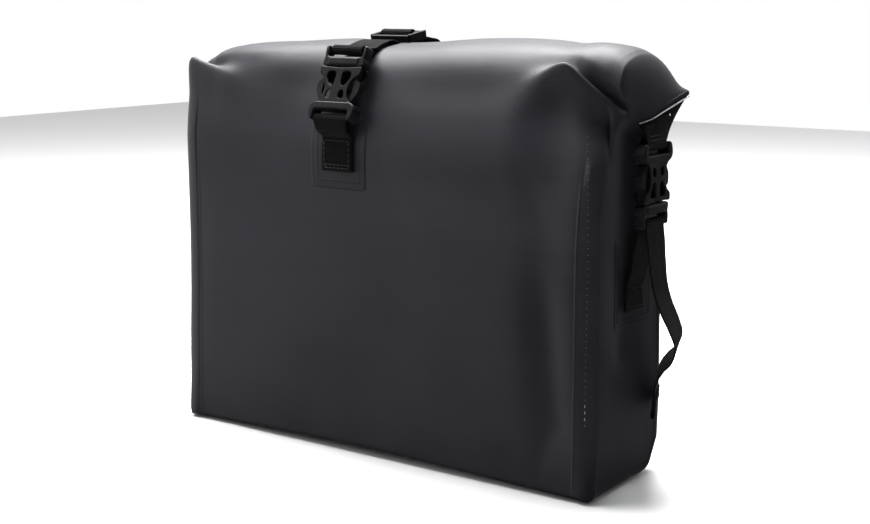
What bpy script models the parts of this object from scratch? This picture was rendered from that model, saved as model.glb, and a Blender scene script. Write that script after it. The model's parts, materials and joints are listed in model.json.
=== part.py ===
"""Roll-top pannier bag: welded fabric shell, rolled closure, three side-release buckles and rack hooks.

Metres, +Z up. X runs along the bag's width, the front faces -Y, the rack side faces +Y, and the
origin is the centre of the flat bottom. Each object is one physical piece.
"""

from math import atan2, cos, hypot, pi, radians, sin

import bmesh
import bpy
from mathutils import Matrix, Vector

# Shell
HALF_W = 0.196
HALF_D = 0.0555
RIM_Z = 0.2625
SKIN = 0.0012
GAP = 0.0004
BAND_W = 0.0135
BAND_D = 0.0100
CORNER_R = 0.028
REAR_R = 0.022
FRONT_R = 0.008
FLANGE = 0.026
FACE_INSET = 0.0015
FRONT_PANEL_Z = 0.011
FRONT_PANEL_R = 0.018
BACK_PANEL_R = 0.006
FRONT_WINDOW_Z = 0.024
REAR_WINDOW_Z = 0.060
BOARD_HALF_X = 0.172
BOARD_Y = (0.0503, 0.0523)
BOARD_TOP_Z = 0.256
BOARD_R = 0.010

# Welded patches
PATCH_T = 0.0008
FRONT_PATCH_X = (-0.0587, -0.0040)
FRONT_PATCH_Z = (0.2140, 0.2712)
FRONT_PATCH_R = 0.0107
SIDE_PATCH_Y = (-0.0187, 0.0374)
SIDE_PATCH_Z = (0.1215, 0.1900)

# Rolled top
NECK_TOP_Z = 0.284
ROLL_BASE_Z = 0.2845
ROLL_Y = 0.003
ROLL_HALF_X = 0.2055
ROLL_HALF_Y = 0.036
SLOT_HALF_Y = 0.0120
SLOT_HALF_Z = 0.0011
STRIP_HALF_Y = 0.0110
STRIP_HALF_Z = 0.0006
ROLL_TOP_Z = 0.3295
ROLL_SAG = 0.0040
ROLL_DROOP = 0.0205
ROLL_POWER = 0.75
SLOT_POWER = 0.35
NECK_HALF_X = 0.192
NECK_Y = (-0.032, 0.038)
NECK_SKIN = 0.0020
NECK_LIP = 0.0018

# Webbing
WEB = 0.030
WEB_T = 0.0013
LOOP_R = 0.0033
LAYER_1 = 0.0012
LAYER_2 = 0.0030

# Side-release buckle, along its own axis from the fixed loop bar to the strap bar
BUCKLE_T = 0.0105
BUCKLE_HALF_W = 0.0205
SHOULDER_HALF_W = 0.0230
BAR = 0.0030
BAR_T = 0.0036
SLOT_HALF_W = 0.0165
SLOT_END = 0.0080
SOCKET_FLOOR = 0.0135
SIDE_OPEN = 0.0175
FACE_HOLE = (0.0105, 0.0365)
FACE_HOLE_R = 0.0032
MALE_SLOT = 0.0516
SOCKET_HALF_W = 0.0182
SOCKET_T = 0.0072
MOUTH = 0.0430
BASE_START = 0.0434
BASE_END = 0.0525
STRAP_BAR = 0.0567
BUCKLE_END = 0.0600
ARM_T = 0.0060
ARM_ROOT = 0.0426
ARM_PIVOT = (0.0145, 0.0424)

# Where the buckles sit: the point at the loop bar's end, mid-thickness
FRONT_BUCKLE = (-0.030, -0.0645, 0.268)
FRONT_LEAN = radians(23.6)
SIDE_BUCKLE_X = 0.2075
SIDE_BUCKLE_Y = 0.011
SIDE_BUCKLE_Z = 0.258

# Tri-glide on the top strap
GLIDE_Y = 0.022
GLIDE_Z = 0.3318
GLIDE_TILT = radians(-12.0)
GLIDE_HALF_W = 0.0200
GLIDE_BAR = 0.0030
GLIDE_SLOT = 0.0050
GLIDE_MID = 0.0035
GLIDE_T = 0.0018
THREAD_GAP = 0.0003

# Routes as (depth or width, height)
STRAP_REAR = (
    (0.0480, 0.3240),
    (0.0580, 0.3190),
    (0.0650, 0.3100),
    (0.0678, 0.2980),
    (0.0672, 0.2800),
    (0.0640, 0.2660),
    (0.0630, 0.2600),
    (0.0630, 0.2420),
)
SIDE_TAIL = (
    (0.2120, 0.1850),
    (0.2165, 0.1700),
    (0.2225, 0.1500),
    (0.2265, 0.1300),
    (0.2275, 0.1120),
    (0.2245, 0.0940),
    (0.2170, 0.0790),
    (0.2080, 0.0680),
    (0.2030, 0.0560),
)
SIDE_SEAM_Z = 0.1335
ROLL_TAB = ((-0.0165, 0.3000), (0.0385, 0.3000), (0.0260, 0.2660), (-0.0040, 0.2660))
TAB_LOOP_Z = 0.2830
ANCHOR_TOP_Z = 0.2575
ANCHOR_LOW_Z = 0.2280

# Rack side
RAIL_T = 0.006
RAIL_Z = (0.236, 0.266)
RAIL_HALF_X = 0.150
HOOK_X = 0.085
HOOK_HALF_X = 0.014
LATCH_HALF_X = 0.0055
LATCH_PIVOT = (0.0775, 0.2885)
SEAT_Z = 0.2800
PLATE_HALF_X = 0.019
PLATE_T = 0.0015
PLATE_Z = (0.244, 0.254)
HOOK_TOP_Z = 0.2960
HOOK_BASE_Y = 0.0803
HOOK_THROAT = 0.0170
HOOK_LEG = 0.0050
HOOK_LEG_Z = 0.2600
HOOK_CROWN_R = 0.0080
EAR_HALF_X = 0.027
EAR_T = 0.0032
PIN_R = 0.0015
RAIL_SCREW_X = 0.135
HANDLE_Y = (0.0415, 0.0615)
HANDLE_RISE = 0.0110
HANDLE_FLAT = 0.014
LOWER_Z = 0.095
LOWER_HALF_X = 0.090
LOWER_HALF_Z = 0.010
LOWER_T = 0.005
SLIDER_T = 0.0060
SWIVEL_R = 0.0125
SWIVEL_T = 0.0040
SWIVEL_ARM_HALF_X = 0.0080
SWIVEL_REACH = 0.0220
SWIVEL_DROP = 0.0400

SIDES = (("right", 1), ("left", -1))

COLOURS = {
    "coated_fabric": ((0.030, 0.030, 0.036), 0.55, 0.0),
    "webbing": ((0.014, 0.014, 0.016), 0.80, 0.0),
    "buckle_plastic": ((0.020, 0.020, 0.022), 0.42, 0.0),
    "board": ((0.050, 0.050, 0.055), 0.60, 0.0),
    "steel": ((0.56, 0.57, 0.58), 0.30, 1.0),
}


def clear_scene():
    for old in list(bpy.data.objects):
        bpy.data.objects.remove(old, do_unlink=True)


def material(name, kind):
    colour, roughness, metallic = COLOURS[kind]
    mat = bpy.data.materials.new(name)
    mat.use_nodes = True
    shader = mat.node_tree.nodes["Principled BSDF"]
    shader.inputs["Base Color"].default_value = (*colour, 1.0)
    shader.inputs["Roughness"].default_value = roughness
    shader.inputs["Metallic"].default_value = metallic
    return mat


def add(name, bm, kind, smooth=35.0, origin=(0.0, 0.0, 0.0)):
    """Turn a bmesh into a named object whose origin is at `origin`."""
    bmesh.ops.recalc_face_normals(bm, faces=bm.faces)
    bmesh.ops.translate(bm, verts=bm.verts, vec=-Vector(origin))
    mesh = bpy.data.meshes.new(name)
    bm.to_mesh(mesh)
    bm.free()
    mesh.shade_smooth()
    mesh.set_sharp_from_angle(angle=radians(smooth))
    obj = bpy.data.objects.new(name, mesh)
    bpy.context.scene.collection.objects.link(obj)
    obj.location = origin
    if kind is not None:
        mesh.materials.append(material(name, kind))
    return obj


def combine(obj, tools, operation):
    """Apply one exact Boolean for each tool, then remove the tools."""
    for tool in tools:
        mod = obj.modifiers.new("cut", "BOOLEAN")
        mod.operation = operation
        mod.solver = "EXACT"
        mod.object = tool
        bpy.context.view_layer.update()
        graph = bpy.context.evaluated_depsgraph_get()
        result = bpy.data.meshes.new_from_object(obj.evaluated_get(graph))
        obj.modifiers.clear()
        obj.data = result
        bpy.data.objects.remove(tool, do_unlink=True)
    obj.data.name = obj.name
    obj.data.shade_smooth()
    obj.data.set_sharp_from_angle(angle=radians(35.0))
    return obj


def prism_mesh(outline, axis, low, high):
    """A bmesh prism: `outline` in the two other axes, in X, Y, Z order, extruded along `axis`."""
    bm = bmesh.new()
    rings = []
    for level in (low, high):
        ring = []
        for a, b in outline:
            point = {0: (level, a, b), 1: (a, level, b), 2: (a, b, level)}[axis]
            ring.append(bm.verts.new(point))
        rings.append(ring)
    count = len(outline)
    for i in range(count):
        j = (i + 1) % count
        bm.faces.new((rings[0][i], rings[0][j], rings[1][j], rings[1][i]))
    bm.faces.new(rings[0])
    bm.faces.new(rings[1])
    return bm


def prism(name, outline, axis, low, high, kind=None, smooth=35.0, origin=(0.0, 0.0, 0.0)):
    return add(name, prism_mesh(outline, axis, low, high), kind, smooth, origin)


def box(name, x, y, z, kind=None):
    outline = ((x[0], y[0]), (x[1], y[0]), (x[1], y[1]), (x[0], y[1]))
    return prism(name, outline, 2, z[0], z[1], kind)


def circle(centre, radius, count):
    steps = [2 * pi * i / count for i in range(count)]
    return [(centre[0] + radius * cos(t), centre[1] + radius * sin(t)) for t in steps]


def arc(centre, radius, start, end, count):
    steps = [radians(start + (end - start) * i / count) for i in range(count + 1)]
    return [(centre[0] + radius * cos(t), centre[1] + radius * sin(t)) for t in steps]


def u_outline(half_w, base, top, radius):
    """A front view: straight sides up to `top`, with rounded lower corners."""
    right = arc((half_w - radius, base + radius), radius, -90, 0, 6)
    left = arc((radius - half_w, base + radius), radius, 180, 270, 6)
    return right + [(half_w, top), (-half_w, top)] + left


def side_outline(inset, top):
    """A side view of the shell, offset inwards by `inset`: small front and large rear radius."""
    front = -(HALF_D - FACE_INSET - inset)
    rear = HALF_D - FACE_INSET - inset
    small = FRONT_R - inset
    large = REAR_R - inset
    lower_rear = arc((rear - large, inset + large), large, -90, 0, 8)
    lower_front = arc((front + small, inset + small), small, 180, 270, 4)
    return lower_rear + [(rear, top), (front, top)] + lower_front


def top_outline(inset):
    """A plan view of the shell: a rectangle whose corners are cut by the welded bands."""
    x = HALF_W - inset
    y = HALF_D - FACE_INSET - inset
    bx = BAND_W - 0.4 * inset
    by = BAND_D - 0.4 * inset
    corner = [(x, y - by), (x - 0.35 * bx, y - 0.35 * by), (x - bx, y)]
    quarter = corner + [(-px, py) for px, py in reversed(corner)]
    return quarter + [(-px, -py) for px, py in quarter]


def shell_body(name, inset, top, kind=None):
    """The convex volume shared by a front, a side and a plan outline."""
    half = HALF_W - inset
    body = prism(name, u_outline(half, inset, top, CORNER_R - inset), 1, -0.1, 0.1, kind)
    side = prism("side_tool", side_outline(inset, top + 0.01), 0, -0.3, 0.3)
    plan = prism("plan_tool", top_outline(inset), 2, -0.1, top + 0.02)
    return combine(body, [side, plan], "INTERSECT")


def build_shell():
    gusset = shell_body("gusset", 0.0, RIM_Z, "coated_fabric")
    inner = shell_body("inner_tool", SKIN, RIM_Z + 0.005)
    win_half = HALF_W - FLANGE
    front = box("front_window", (-win_half, win_half), (-0.08, -0.02), (FRONT_WINDOW_Z, 0.30))
    rear = box("rear_window", (-win_half, win_half), (0.02, 0.08), (REAR_WINDOW_Z, 0.30))
    combine(gusset, [inner, front, rear], "DIFFERENCE")

    panel_half = HALF_W - BAND_W
    panel = u_outline(panel_half, FRONT_PANEL_Z, RIM_Z, FRONT_PANEL_R)
    prism("front_panel", panel, 1, -HALF_D, -HALF_D + SKIN, "coated_fabric")
    panel = u_outline(panel_half, REAR_R + 0.002, RIM_Z, BACK_PANEL_R)
    prism("back_panel", panel, 1, HALF_D - SKIN, HALF_D, "coated_fabric")
    board = u_outline(BOARD_HALF_X, REAR_R + 0.008, BOARD_TOP_Z, BOARD_R)
    prism("back_board", board, 1, *BOARD_Y, "board")

    left, right = FRONT_PATCH_X
    low, high = FRONT_PATCH_Z
    radius = FRONT_PATCH_R
    patch = arc((right - radius, high - radius), radius, 0, 90, 4)
    patch = patch + arc((left + radius, high - radius), radius, 90, 180, 4)
    patch = patch + [(left, low), (right, low)]
    face = -HALF_D - GAP
    prism("front_patch", patch, 1, face - PATCH_T, face, "coated_fabric")

    front, rear = SIDE_PATCH_Y
    low, high = SIDE_PATCH_Z
    outline = ((front, low), (rear, low), (rear, high), (front, high))
    near = HALF_W + GAP
    for side, sign in SIDES:
        span = sorted((sign * near, sign * (near + PATCH_T)))
        prism("side_patch_" + side, outline, 0, *span, "coated_fabric")


def neck_ring(bm, half_x, y_low, y_high, z, cut):
    """A rectangle at height `z` whose corners are cut off by `cut`."""
    corners = ((half_x, y_low + cut), (half_x, y_high - cut), (half_x - cut, y_high))
    right = [(half_x - cut, y_low)] + list(corners)
    loop = right + [(-x, y) for x, y in reversed(right)]
    return [bm.verts.new((x, y, z)) for x, y in loop]


def build_neck():
    """The fabric above the rim: an open tapered band that leans in under the roll."""
    bm = bmesh.new()
    low = RIM_Z + GAP
    outer_low = neck_ring(bm, HALF_W - 0.0006, -HALF_D, HALF_D, low, 0.010)
    outer_top = neck_ring(bm, NECK_HALF_X, *NECK_Y, NECK_TOP_Z, 0.006)
    inner_half = HALF_W - 0.0006 - NECK_SKIN
    inner_d = HALF_D - 0.0022
    inner_low = neck_ring(bm, inner_half, -inner_d, inner_d, low, 0.0095)
    inner_y = (NECK_Y[0] + NECK_LIP, NECK_Y[1] - NECK_LIP)
    inner_top = neck_ring(bm, NECK_HALF_X - NECK_LIP, *inner_y, NECK_TOP_Z, 0.0055)
    bridge(bm, [outer_low, outer_top, inner_top, inner_low], closed=True)
    add("roof_skirt", bm, "coated_fabric")


def bridge(bm, rings, closed):
    """Join neighbouring rings of equal length with quads; `closed` also joins the last to the first."""
    count = len(rings[0])
    pairs = list(zip(rings, rings[1:]))
    if closed:
        pairs.append((rings[-1], rings[0]))
    for first, second in pairs:
        for i in range(count):
            j = (i + 1) % count
            bm.faces.new((first[i], first[j], second[j], second[i]))


def roll_top_z(x):
    """The roll is highest in the middle and droops at its ends."""
    t = abs(x) / ROLL_HALF_X
    return ROLL_TOP_Z - ROLL_SAG * t**2 - ROLL_DROOP * t**9


def section_point(t, half_y, half_z, power):
    """A point on a rounded section, with `t` the angle from the rear."""
    c = cos(t)
    s = sin(t)
    y = half_y * (abs(c) ** power) * (1 if c >= 0 else -1)
    z = half_z * (abs(s) ** power) * (1 if s >= 0 else -1)
    return y, z


def roll_section(x, inner):
    """One section of the roll, or of the slot inside it that holds the stiffening strip."""
    top = roll_top_z(x)
    mid = 0.5 * (top + ROLL_BASE_Z)
    size = (ROLL_HALF_Y, 0.5 * (top - ROLL_BASE_Z), ROLL_POWER)
    if inner:
        size = (SLOT_HALF_Y, SLOT_HALF_Z, SLOT_POWER)
    points = [section_point(2 * pi * i / 20, *size) for i in range(20)]
    return [(x, ROLL_Y + y, mid + z) for y, z in points]


def over_roll(degrees, lift):
    """A point `lift` above the roll where the top strap crosses it: 0 is the rear, 90 the top."""
    top = roll_top_z(FRONT_BUCKLE[0])
    size = (ROLL_HALF_Y, 0.5 * (top - ROLL_BASE_Z), ROLL_POWER)
    before = Vector(section_point(radians(degrees - 1), *size))
    after = Vector(section_point(radians(degrees + 1), *size))
    tangent = (after - before).normalized()
    middle = 0.5 * (before + after)
    y = ROLL_Y + middle.x + tangent.y * lift
    return (y, 0.5 * (top + ROLL_BASE_Z) + middle.y - tangent.x * lift)


def roll_stations(half_x, count):
    return [half_x * sin(0.5 * pi * (2 * i / count - 1)) for i in range(count + 1)]


def build_roll():
    bm = bmesh.new()
    xs = roll_stations(ROLL_HALF_X, 14)
    outer = [[bm.verts.new(p) for p in roll_section(x, False)] for x in xs]
    inner = [[bm.verts.new(p) for p in roll_section(x, True)] for x in xs]
    bridge(bm, outer + inner[::-1], closed=True)
    add("roll_top", bm, "coated_fabric", smooth=50.0)

    bm = bmesh.new()
    rings = []
    for x in roll_stations(ROLL_HALF_X, 14)[1:-1]:
        mid = 0.5 * (roll_top_z(x) + ROLL_BASE_Z)
        corners = ((-1, -1), (1, -1), (1, 1), (-1, 1))
        points = [(x, ROLL_Y + a * STRIP_HALF_Y, mid + b * STRIP_HALF_Z) for a, b in corners]
        rings.append([bm.verts.new(p) for p in points])
    bridge(bm, rings, closed=False)
    bm.faces.new(rings[0])
    bm.faces.new(rings[-1])
    add("mouth_stiffener", bm, "board")


def strip_outline(path, thickness):
    """A closed outline of even thickness around an open centre line."""
    left = []
    right = []
    last = len(path) - 1
    for i, (a, b) in enumerate(path):
        before = path[max(i - 1, 0)]
        after = path[min(i + 1, last)]
        if 0 < i < last:
            d1 = Vector((a - before[0], b - before[1])).normalized()
            d2 = Vector((after[0] - a, after[1] - b)).normalized()
            tangent = (d1 + d2).normalized()
            scale = 1.0 / max(tangent.dot(d1), 0.5)
        else:
            tangent = Vector((after[0] - before[0], after[1] - before[1])).normalized()
            scale = 1.0
        half = 0.5 * thickness * scale
        left.append((a - tangent.y * half, b + tangent.x * half))
        right.append((a + tangent.y * half, b - tangent.x * half))
    return left + right[::-1]


def tangent_angle(point, centre, radius, turn):
    """The angle on a circle where a straight run from `point` meets it; `turn` picks the side."""
    dx = point[0] - centre[0]
    dy = point[1] - centre[1]
    return atan2(dy, dx) + turn * (pi / 2 - atan2(radius, hypot(dx, dy)))


def wrap(start, centre, end, turn, count=8):
    """From `start`, round a bar at `centre`, to `end`; `turn` is +1 for an anticlockwise wrap."""
    first = tangent_angle(start, centre, LOOP_R, turn)
    last = tangent_angle(end, centre, LOOP_R, -turn)
    sweep = (last - first) * turn
    while sweep < 0:
        sweep += 2 * pi
    points = [start]
    for i in range(count + 1):
        angle = first + turn * sweep * i / count
        points.append((centre[0] + LOOP_R * cos(angle), centre[1] + LOOP_R * sin(angle)))
    return points + [end]


def place(obj, frame):
    obj.data.transform(frame)
    obj.data.update()


def set_origin(obj, point):
    """Move the object's origin to `point` without moving its shape."""
    obj.data.transform(Matrix.Translation(-Vector(point)))
    obj.location = point


def mirrored(outline):
    """An outline's right half, followed by its mirror image."""
    return list(outline) + [(-u, v) for u, v in reversed(outline)]


def buckle_female(name):
    half_t = BUCKLE_T / 2
    right = (
        (0.0190, 0.0000),
        (0.0205, 0.0012),
        (SHOULDER_HALF_W, 0.0085),
        (SHOULDER_HALF_W - 0.0006, 0.0120),
        (BUCKLE_HALF_W, 0.0170),
        (BUCKLE_HALF_W, 0.0290),
        (BUCKLE_HALF_W + 0.0008, MOUTH - 0.0010),
        (BUCKLE_HALF_W, MOUTH),
    )
    body = prism(name, mirrored(right), 2, -half_t, half_t, "buckle_plastic")
    half_s = SOCKET_T / 2
    thin = 0.5 * (BUCKLE_T - BAR_T)
    slot = box("slot", (-SLOT_HALF_W, SLOT_HALF_W), (BAR, SLOT_END), (-0.02, 0.02))
    above = box("above", (-SLOT_HALF_W, SLOT_HALF_W), (-0.01, BAR + 0.001), (half_t - thin, 0.02))
    below = box("below", (-SLOT_HALF_W, SLOT_HALF_W), (-0.01, BAR + 0.001), (-0.02, thin - half_t))
    socket = box("socket", (-SOCKET_HALF_W, SOCKET_HALF_W), (SOCKET_FLOOR, 0.06), (-half_s, half_s))
    sides = box("sides", (-0.03, 0.03), (SIDE_OPEN, 0.06), (-half_s, half_s))
    combine(body, [slot, above, below, socket, sides], "DIFFERENCE")
    for sign in (1, -1):
        window = circle((sign * FACE_HOLE[0], FACE_HOLE[1]), FACE_HOLE_R, 12)
        combine(body, [prism("window", window, 2, -0.02, 0.02)], "DIFFERENCE")
    return body


def buckle_male(name):
    half = BUCKLE_T / 2
    right = (
        (BUCKLE_HALF_W, BASE_START),
        (BUCKLE_HALF_W + 0.0008, BASE_START + 0.001),
        (BUCKLE_HALF_W, BASE_END + 0.002),
        (BUCKLE_HALF_W - 0.0006, BUCKLE_END - 0.0012),
        (0.0185, BUCKLE_END),
    )
    body = prism(name, mirrored(right), 2, -half, half, "buckle_plastic")
    stem = box("stem", (-0.0022, 0.0022), (SIDE_OPEN, BASE_START + 0.002), (-0.0028, 0.0028))
    combine(body, [stem], "UNION")
    thin = 0.5 * (BUCKLE_T - BAR_T)
    slot = box("slot", (-SLOT_HALF_W, SLOT_HALF_W), (MALE_SLOT, STRAP_BAR), (-0.02, 0.02))
    above = box("above", (-SLOT_HALF_W, SLOT_HALF_W), (STRAP_BAR - 0.001, 0.07), (half - thin, 0.02))
    below = box("below", (-SLOT_HALF_W, SLOT_HALF_W), (STRAP_BAR - 0.001, 0.07), (-0.02, thin - half))
    return combine(body, [slot, above, below], "DIFFERENCE")


def buckle_arm(name, sign):
    """One spring arm with its barb and finger pad, as an outline across the buckle."""
    right = (
        (0.0125, ARM_ROOT),
        (0.0165, ARM_ROOT),
        (0.0168, 0.0330),
        (0.0205, 0.0305),
        (0.0208, 0.0265),
        (0.0203, 0.0225),
        (0.0160, 0.0155),
        (0.0135, 0.0150),
        (0.0128, 0.0165),
        (0.0150, 0.0220),
        (0.0152, 0.0280),
        (0.0132, 0.0340),
    )
    outline = [(sign * u, v) for u, v in right]
    return prism(name, outline, 2, -ARM_T / 2, ARM_T / 2, "buckle_plastic")


def buckle(prefix, frame, names):
    """Female, male and two arms in their own axes, then placed by `frame`."""
    place(buckle_female(prefix + "_buckle_female"), frame)
    place(buckle_male(prefix + "_buckle_male"), frame)
    for name, sign in names:
        arm = buckle_arm(prefix + "_arm_" + name, sign)
        place(arm, frame)
        set_origin(arm, frame @ Vector((sign * ARM_PIVOT[0], ARM_PIVOT[1], 0.0)))


def front_frame():
    """Buckle axes to the bag's: width along X, length leaning back, thickness towards the front."""
    along = Vector((0.0, sin(FRONT_LEAN), cos(FRONT_LEAN)))
    out = Vector((0.0, -cos(FRONT_LEAN), sin(FRONT_LEAN)))
    return frame_matrix(Vector((1.0, 0.0, 0.0)), along, out, FRONT_BUCKLE)


def side_frame(sign):
    """The side buckles hang straight down, with their thickness across the bag's width."""
    across = Vector((0.0, -sign, 0.0))
    along = Vector((0.0, 0.0, -1.0))
    out = Vector((sign, 0.0, 0.0))
    return frame_matrix(across, along, out, (sign * SIDE_BUCKLE_X, SIDE_BUCKLE_Y, SIDE_BUCKLE_Z))


def frame_matrix(across, along, out, origin):
    rows = Matrix((across, along, out)).transposed().to_4x4()
    return Matrix.Translation(origin) @ rows


def build_front_closure():
    frame = front_frame()
    buckle("front", frame, SIDES)
    x = FRONT_BUCKLE[0]
    span = (x - WEB / 2, x + WEB / 2)

    bar = frame @ Vector((0.0, BAR / 2, 0.0))
    back_leg = (-HALF_D - 0.0022, ANCHOR_TOP_Z)
    front_leg = (back_leg[0] - WEB_T - THREAD_GAP, ANCHOR_TOP_Z)
    path = [(back_leg[0], ANCHOR_LOW_Z)] + wrap(back_leg, (bar.y, bar.z), front_leg, 1)
    path.append((front_leg[0], ANCHOR_LOW_Z))
    prism("front_anchor_webbing", strip_outline(path, WEB_T), 0, *span, "webbing")

    bar = frame @ Vector((0.0, (STRAP_BAR + BUCKLE_END) / 2, 0.0))
    tuck = over_roll(140, LAYER_1)
    path = [over_roll(122, LAYER_1)] + wrap(tuck, (bar.y, bar.z), over_roll(138, LAYER_2), -1)
    path = path + top_strap_route()
    prism("top_strap", strip_outline(path, WEB_T), 0, *span, "webbing")

    build_tri_glide()


def glide_point(along, up):
    c = cos(GLIDE_TILT)
    s = sin(GLIDE_TILT)
    return (GLIDE_Y + along * c - up * s, GLIDE_Z + along * s + up * c)


def top_strap_route():
    """Over the roll, through the tri-glide and down behind to the rail."""
    under = -(GLIDE_T / 2 + THREAD_GAP + WEB_T / 2)
    threading = ((-0.0150, under), (-0.0062, under), (-0.0023, -under), (0.0023, -under))
    threading = threading + ((0.0062, under), (0.0150, under))
    over = [over_roll(degrees, LAYER_2) for degrees in (125, 110, 96)]
    glide = [glide_point(a, b) for a, b in threading]
    return over + glide + list(STRAP_REAR)


def build_tri_glide():
    half = GLIDE_BAR + GLIDE_SLOT + GLIDE_MID / 2
    x = FRONT_BUCKLE[0]
    wide = (-GLIDE_HALF_W, GLIDE_HALF_W)
    body = box("tri_glide", wide, (-half, half), (-GLIDE_T / 2, GLIDE_T / 2), "buckle_plastic")
    for sign in (1, -1):
        near = sign * GLIDE_MID / 2
        far = sign * (GLIDE_MID / 2 + GLIDE_SLOT)
        span = (min(near, far), max(near, far))
        combine(body, [box("slot", (-SLOT_HALF_W, SLOT_HALF_W), span, (-0.02, 0.02))], "DIFFERENCE")
    place(body, Matrix.Rotation(GLIDE_TILT, 4, "X"))
    set_origin(body, (0.0, 0.0, 0.0))
    body.location = (x, GLIDE_Y, GLIDE_Z)


def build_side_closure(side, sign):
    frame = side_frame(sign)
    buckle("side_" + side, frame, (("front", sign), ("rear", -sign)))
    span = (SIDE_BUCKLE_Y - WEB / 2, SIDE_BUCKLE_Y + WEB / 2)

    near = SIDE_BUCKLE_X - 0.0008
    xs = sorted((sign * near, sign * (near + 0.0016)))
    prism("roll_tab_" + side, ROLL_TAB, 0, *xs, "coated_fabric")

    offset = PATCH_T + THREAD_GAP + WEB_T / 2
    inner = (sign * (SIDE_BUCKLE_X - offset), TAB_LOOP_Z)
    outer = (sign * (SIDE_BUCKLE_X + offset), TAB_LOOP_Z)
    bar = (sign * SIDE_BUCKLE_X, SIDE_BUCKLE_Z - BAR / 2)
    path = wrap(inner, bar, outer, sign)
    loop = extrude_y(strip_outline(path, WEB_T), span)
    add("tab_loop_" + side, loop, "webbing")

    bar_z = SIDE_BUCKLE_Z - (STRAP_BAR + BUCKLE_END) / 2
    inner_x = sign * (HALF_W + 0.0021)
    lower = (inner_x, SIDE_SEAM_Z)
    behind = (inner_x, 0.1700)
    tail_top = (sign * SIDE_TAIL[0][0], SIDE_TAIL[0][1])
    path = [lower] + wrap(behind, (sign * SIDE_BUCKLE_X, bar_z), tail_top, -sign)
    path = path + [(sign * a, b) for a, b in SIDE_TAIL[1:]]
    add("side_strap_" + side, extrude_y(strip_outline(path, WEB_T), span), "webbing")


def extrude_y(outline, span):
    return prism_mesh(outline, 1, span[0], span[1])


def screw(name, x, y, z, radius=0.0035, height=0.0020):
    """A pan-head screw's visible head, facing the rack."""
    return prism(name, circle((x, z), radius, 12), 1, y, y + height, "steel")


def build_rack_side():
    rail_y = (HALF_D + GAP, HALF_D + GAP + RAIL_T)
    face = rail_y[1] + GAP
    box("top_rail", (-RAIL_HALF_X, RAIL_HALF_X), rail_y, RAIL_Z, "buckle_plastic")
    mid_z = sum(RAIL_Z) / 2
    for side, sign in SIDES:
        screw("top_rail_screw_" + side, sign * RAIL_SCREW_X, face, mid_z)
        build_hook(side, sign * HOOK_X, face)

    x = FRONT_BUCKLE[0]
    plate_y = STRAP_REAR[-1][0] + WEB_T / 2 + GAP
    wide = (x - PLATE_HALF_X, x + PLATE_HALF_X)
    box("strap_anchor_plate", wide, (plate_y, plate_y + PLATE_T), PLATE_Z, "steel")

    low_y = (HALF_D + GAP, HALF_D + GAP + LOWER_T)
    low_face = low_y[1] + GAP
    low_z = (LOWER_Z - LOWER_HALF_Z, LOWER_Z + LOWER_HALF_Z)
    box("lower_rail", (-LOWER_HALF_X, LOWER_HALF_X), low_y, low_z, "buckle_plastic")
    for side, sign in SIDES:
        screw("lower_rail_screw_" + side, sign * (LOWER_HALF_X - LOWER_HALF_Z), low_face, LOWER_Z)
    build_lower_hook(low_face)
    build_handle()


def build_hook(side, x, face):
    """A top hook: base on the rail, a seat over the rack tube and an outer leg."""
    leg_front = HOOK_BASE_Y + HOOK_THROAT
    leg_rear = leg_front + HOOK_LEG
    bend = HOOK_THROAT / 2
    centre = (HOOK_BASE_Y + bend, SEAT_Z - bend)
    flat = ((HOOK_BASE_Y + 0.0060, SEAT_Z), (leg_front - 0.0060, SEAT_Z))
    throat = arc(centre, bend, 180, 90, 5)[:-1] + list(flat) + arc(centre, bend, 90, 0, 5)[1:]
    crown = (leg_rear - HOOK_CROWN_R, HOOK_TOP_Z - HOOK_CROWN_R)
    outline = [(face, RAIL_Z[0]), (HOOK_BASE_Y, RAIL_Z[0])] + throat
    outline = outline + [(leg_front, HOOK_LEG_Z + 0.0040), (leg_rear, HOOK_LEG_Z), (leg_rear, crown[1])]
    outline = outline + arc(crown, HOOK_CROWN_R, 0, 90, 4)[1:] + [(face, HOOK_TOP_Z)]
    low = x - HOOK_HALF_X
    high = x + HOOK_HALF_X
    hook = prism("top_hook_" + side, outline, 0, low, high, "buckle_plastic")
    ear = box("ear", (x - EAR_HALF_X, x + EAR_HALF_X), (face, face + EAR_T), (0.238, 0.264))
    combine(hook, [ear], "UNION")
    slot_half = LATCH_HALF_X + 0.0006
    slot = box("slot", (x - slot_half, x + slot_half), (face + 0.0030, 0.0830), (0.20, 0.32))
    notch = box("notch", (x - slot_half, x + slot_half), (face - 0.01, face + 0.01), (0.270, 0.32))
    combine(hook, [slot, notch], "DIFFERENCE")
    pin_hole = prism("pin_hole", circle(LATCH_PIVOT, PIN_R + 0.0005, 12), 0, low - 0.01, high + 0.01)
    combine(hook, [pin_hole], "DIFFERENCE")
    for place_name, dx in (("inner", -0.021), ("outer", 0.021)):
        name = "hook_screw_" + side + "_" + place_name
        screw(name, x + dx * (1 if x > 0 else -1), face + EAR_T + GAP, sum(RAIL_Z) / 2, 0.0030, 0.0018)
    build_latch(side, x)
    pin = circle(LATCH_PIVOT, PIN_R, 12)
    prism("latch_pin_" + side, pin, 0, low + 0.001, high - 0.001, "steel", origin=(x, *LATCH_PIVOT))


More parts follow.
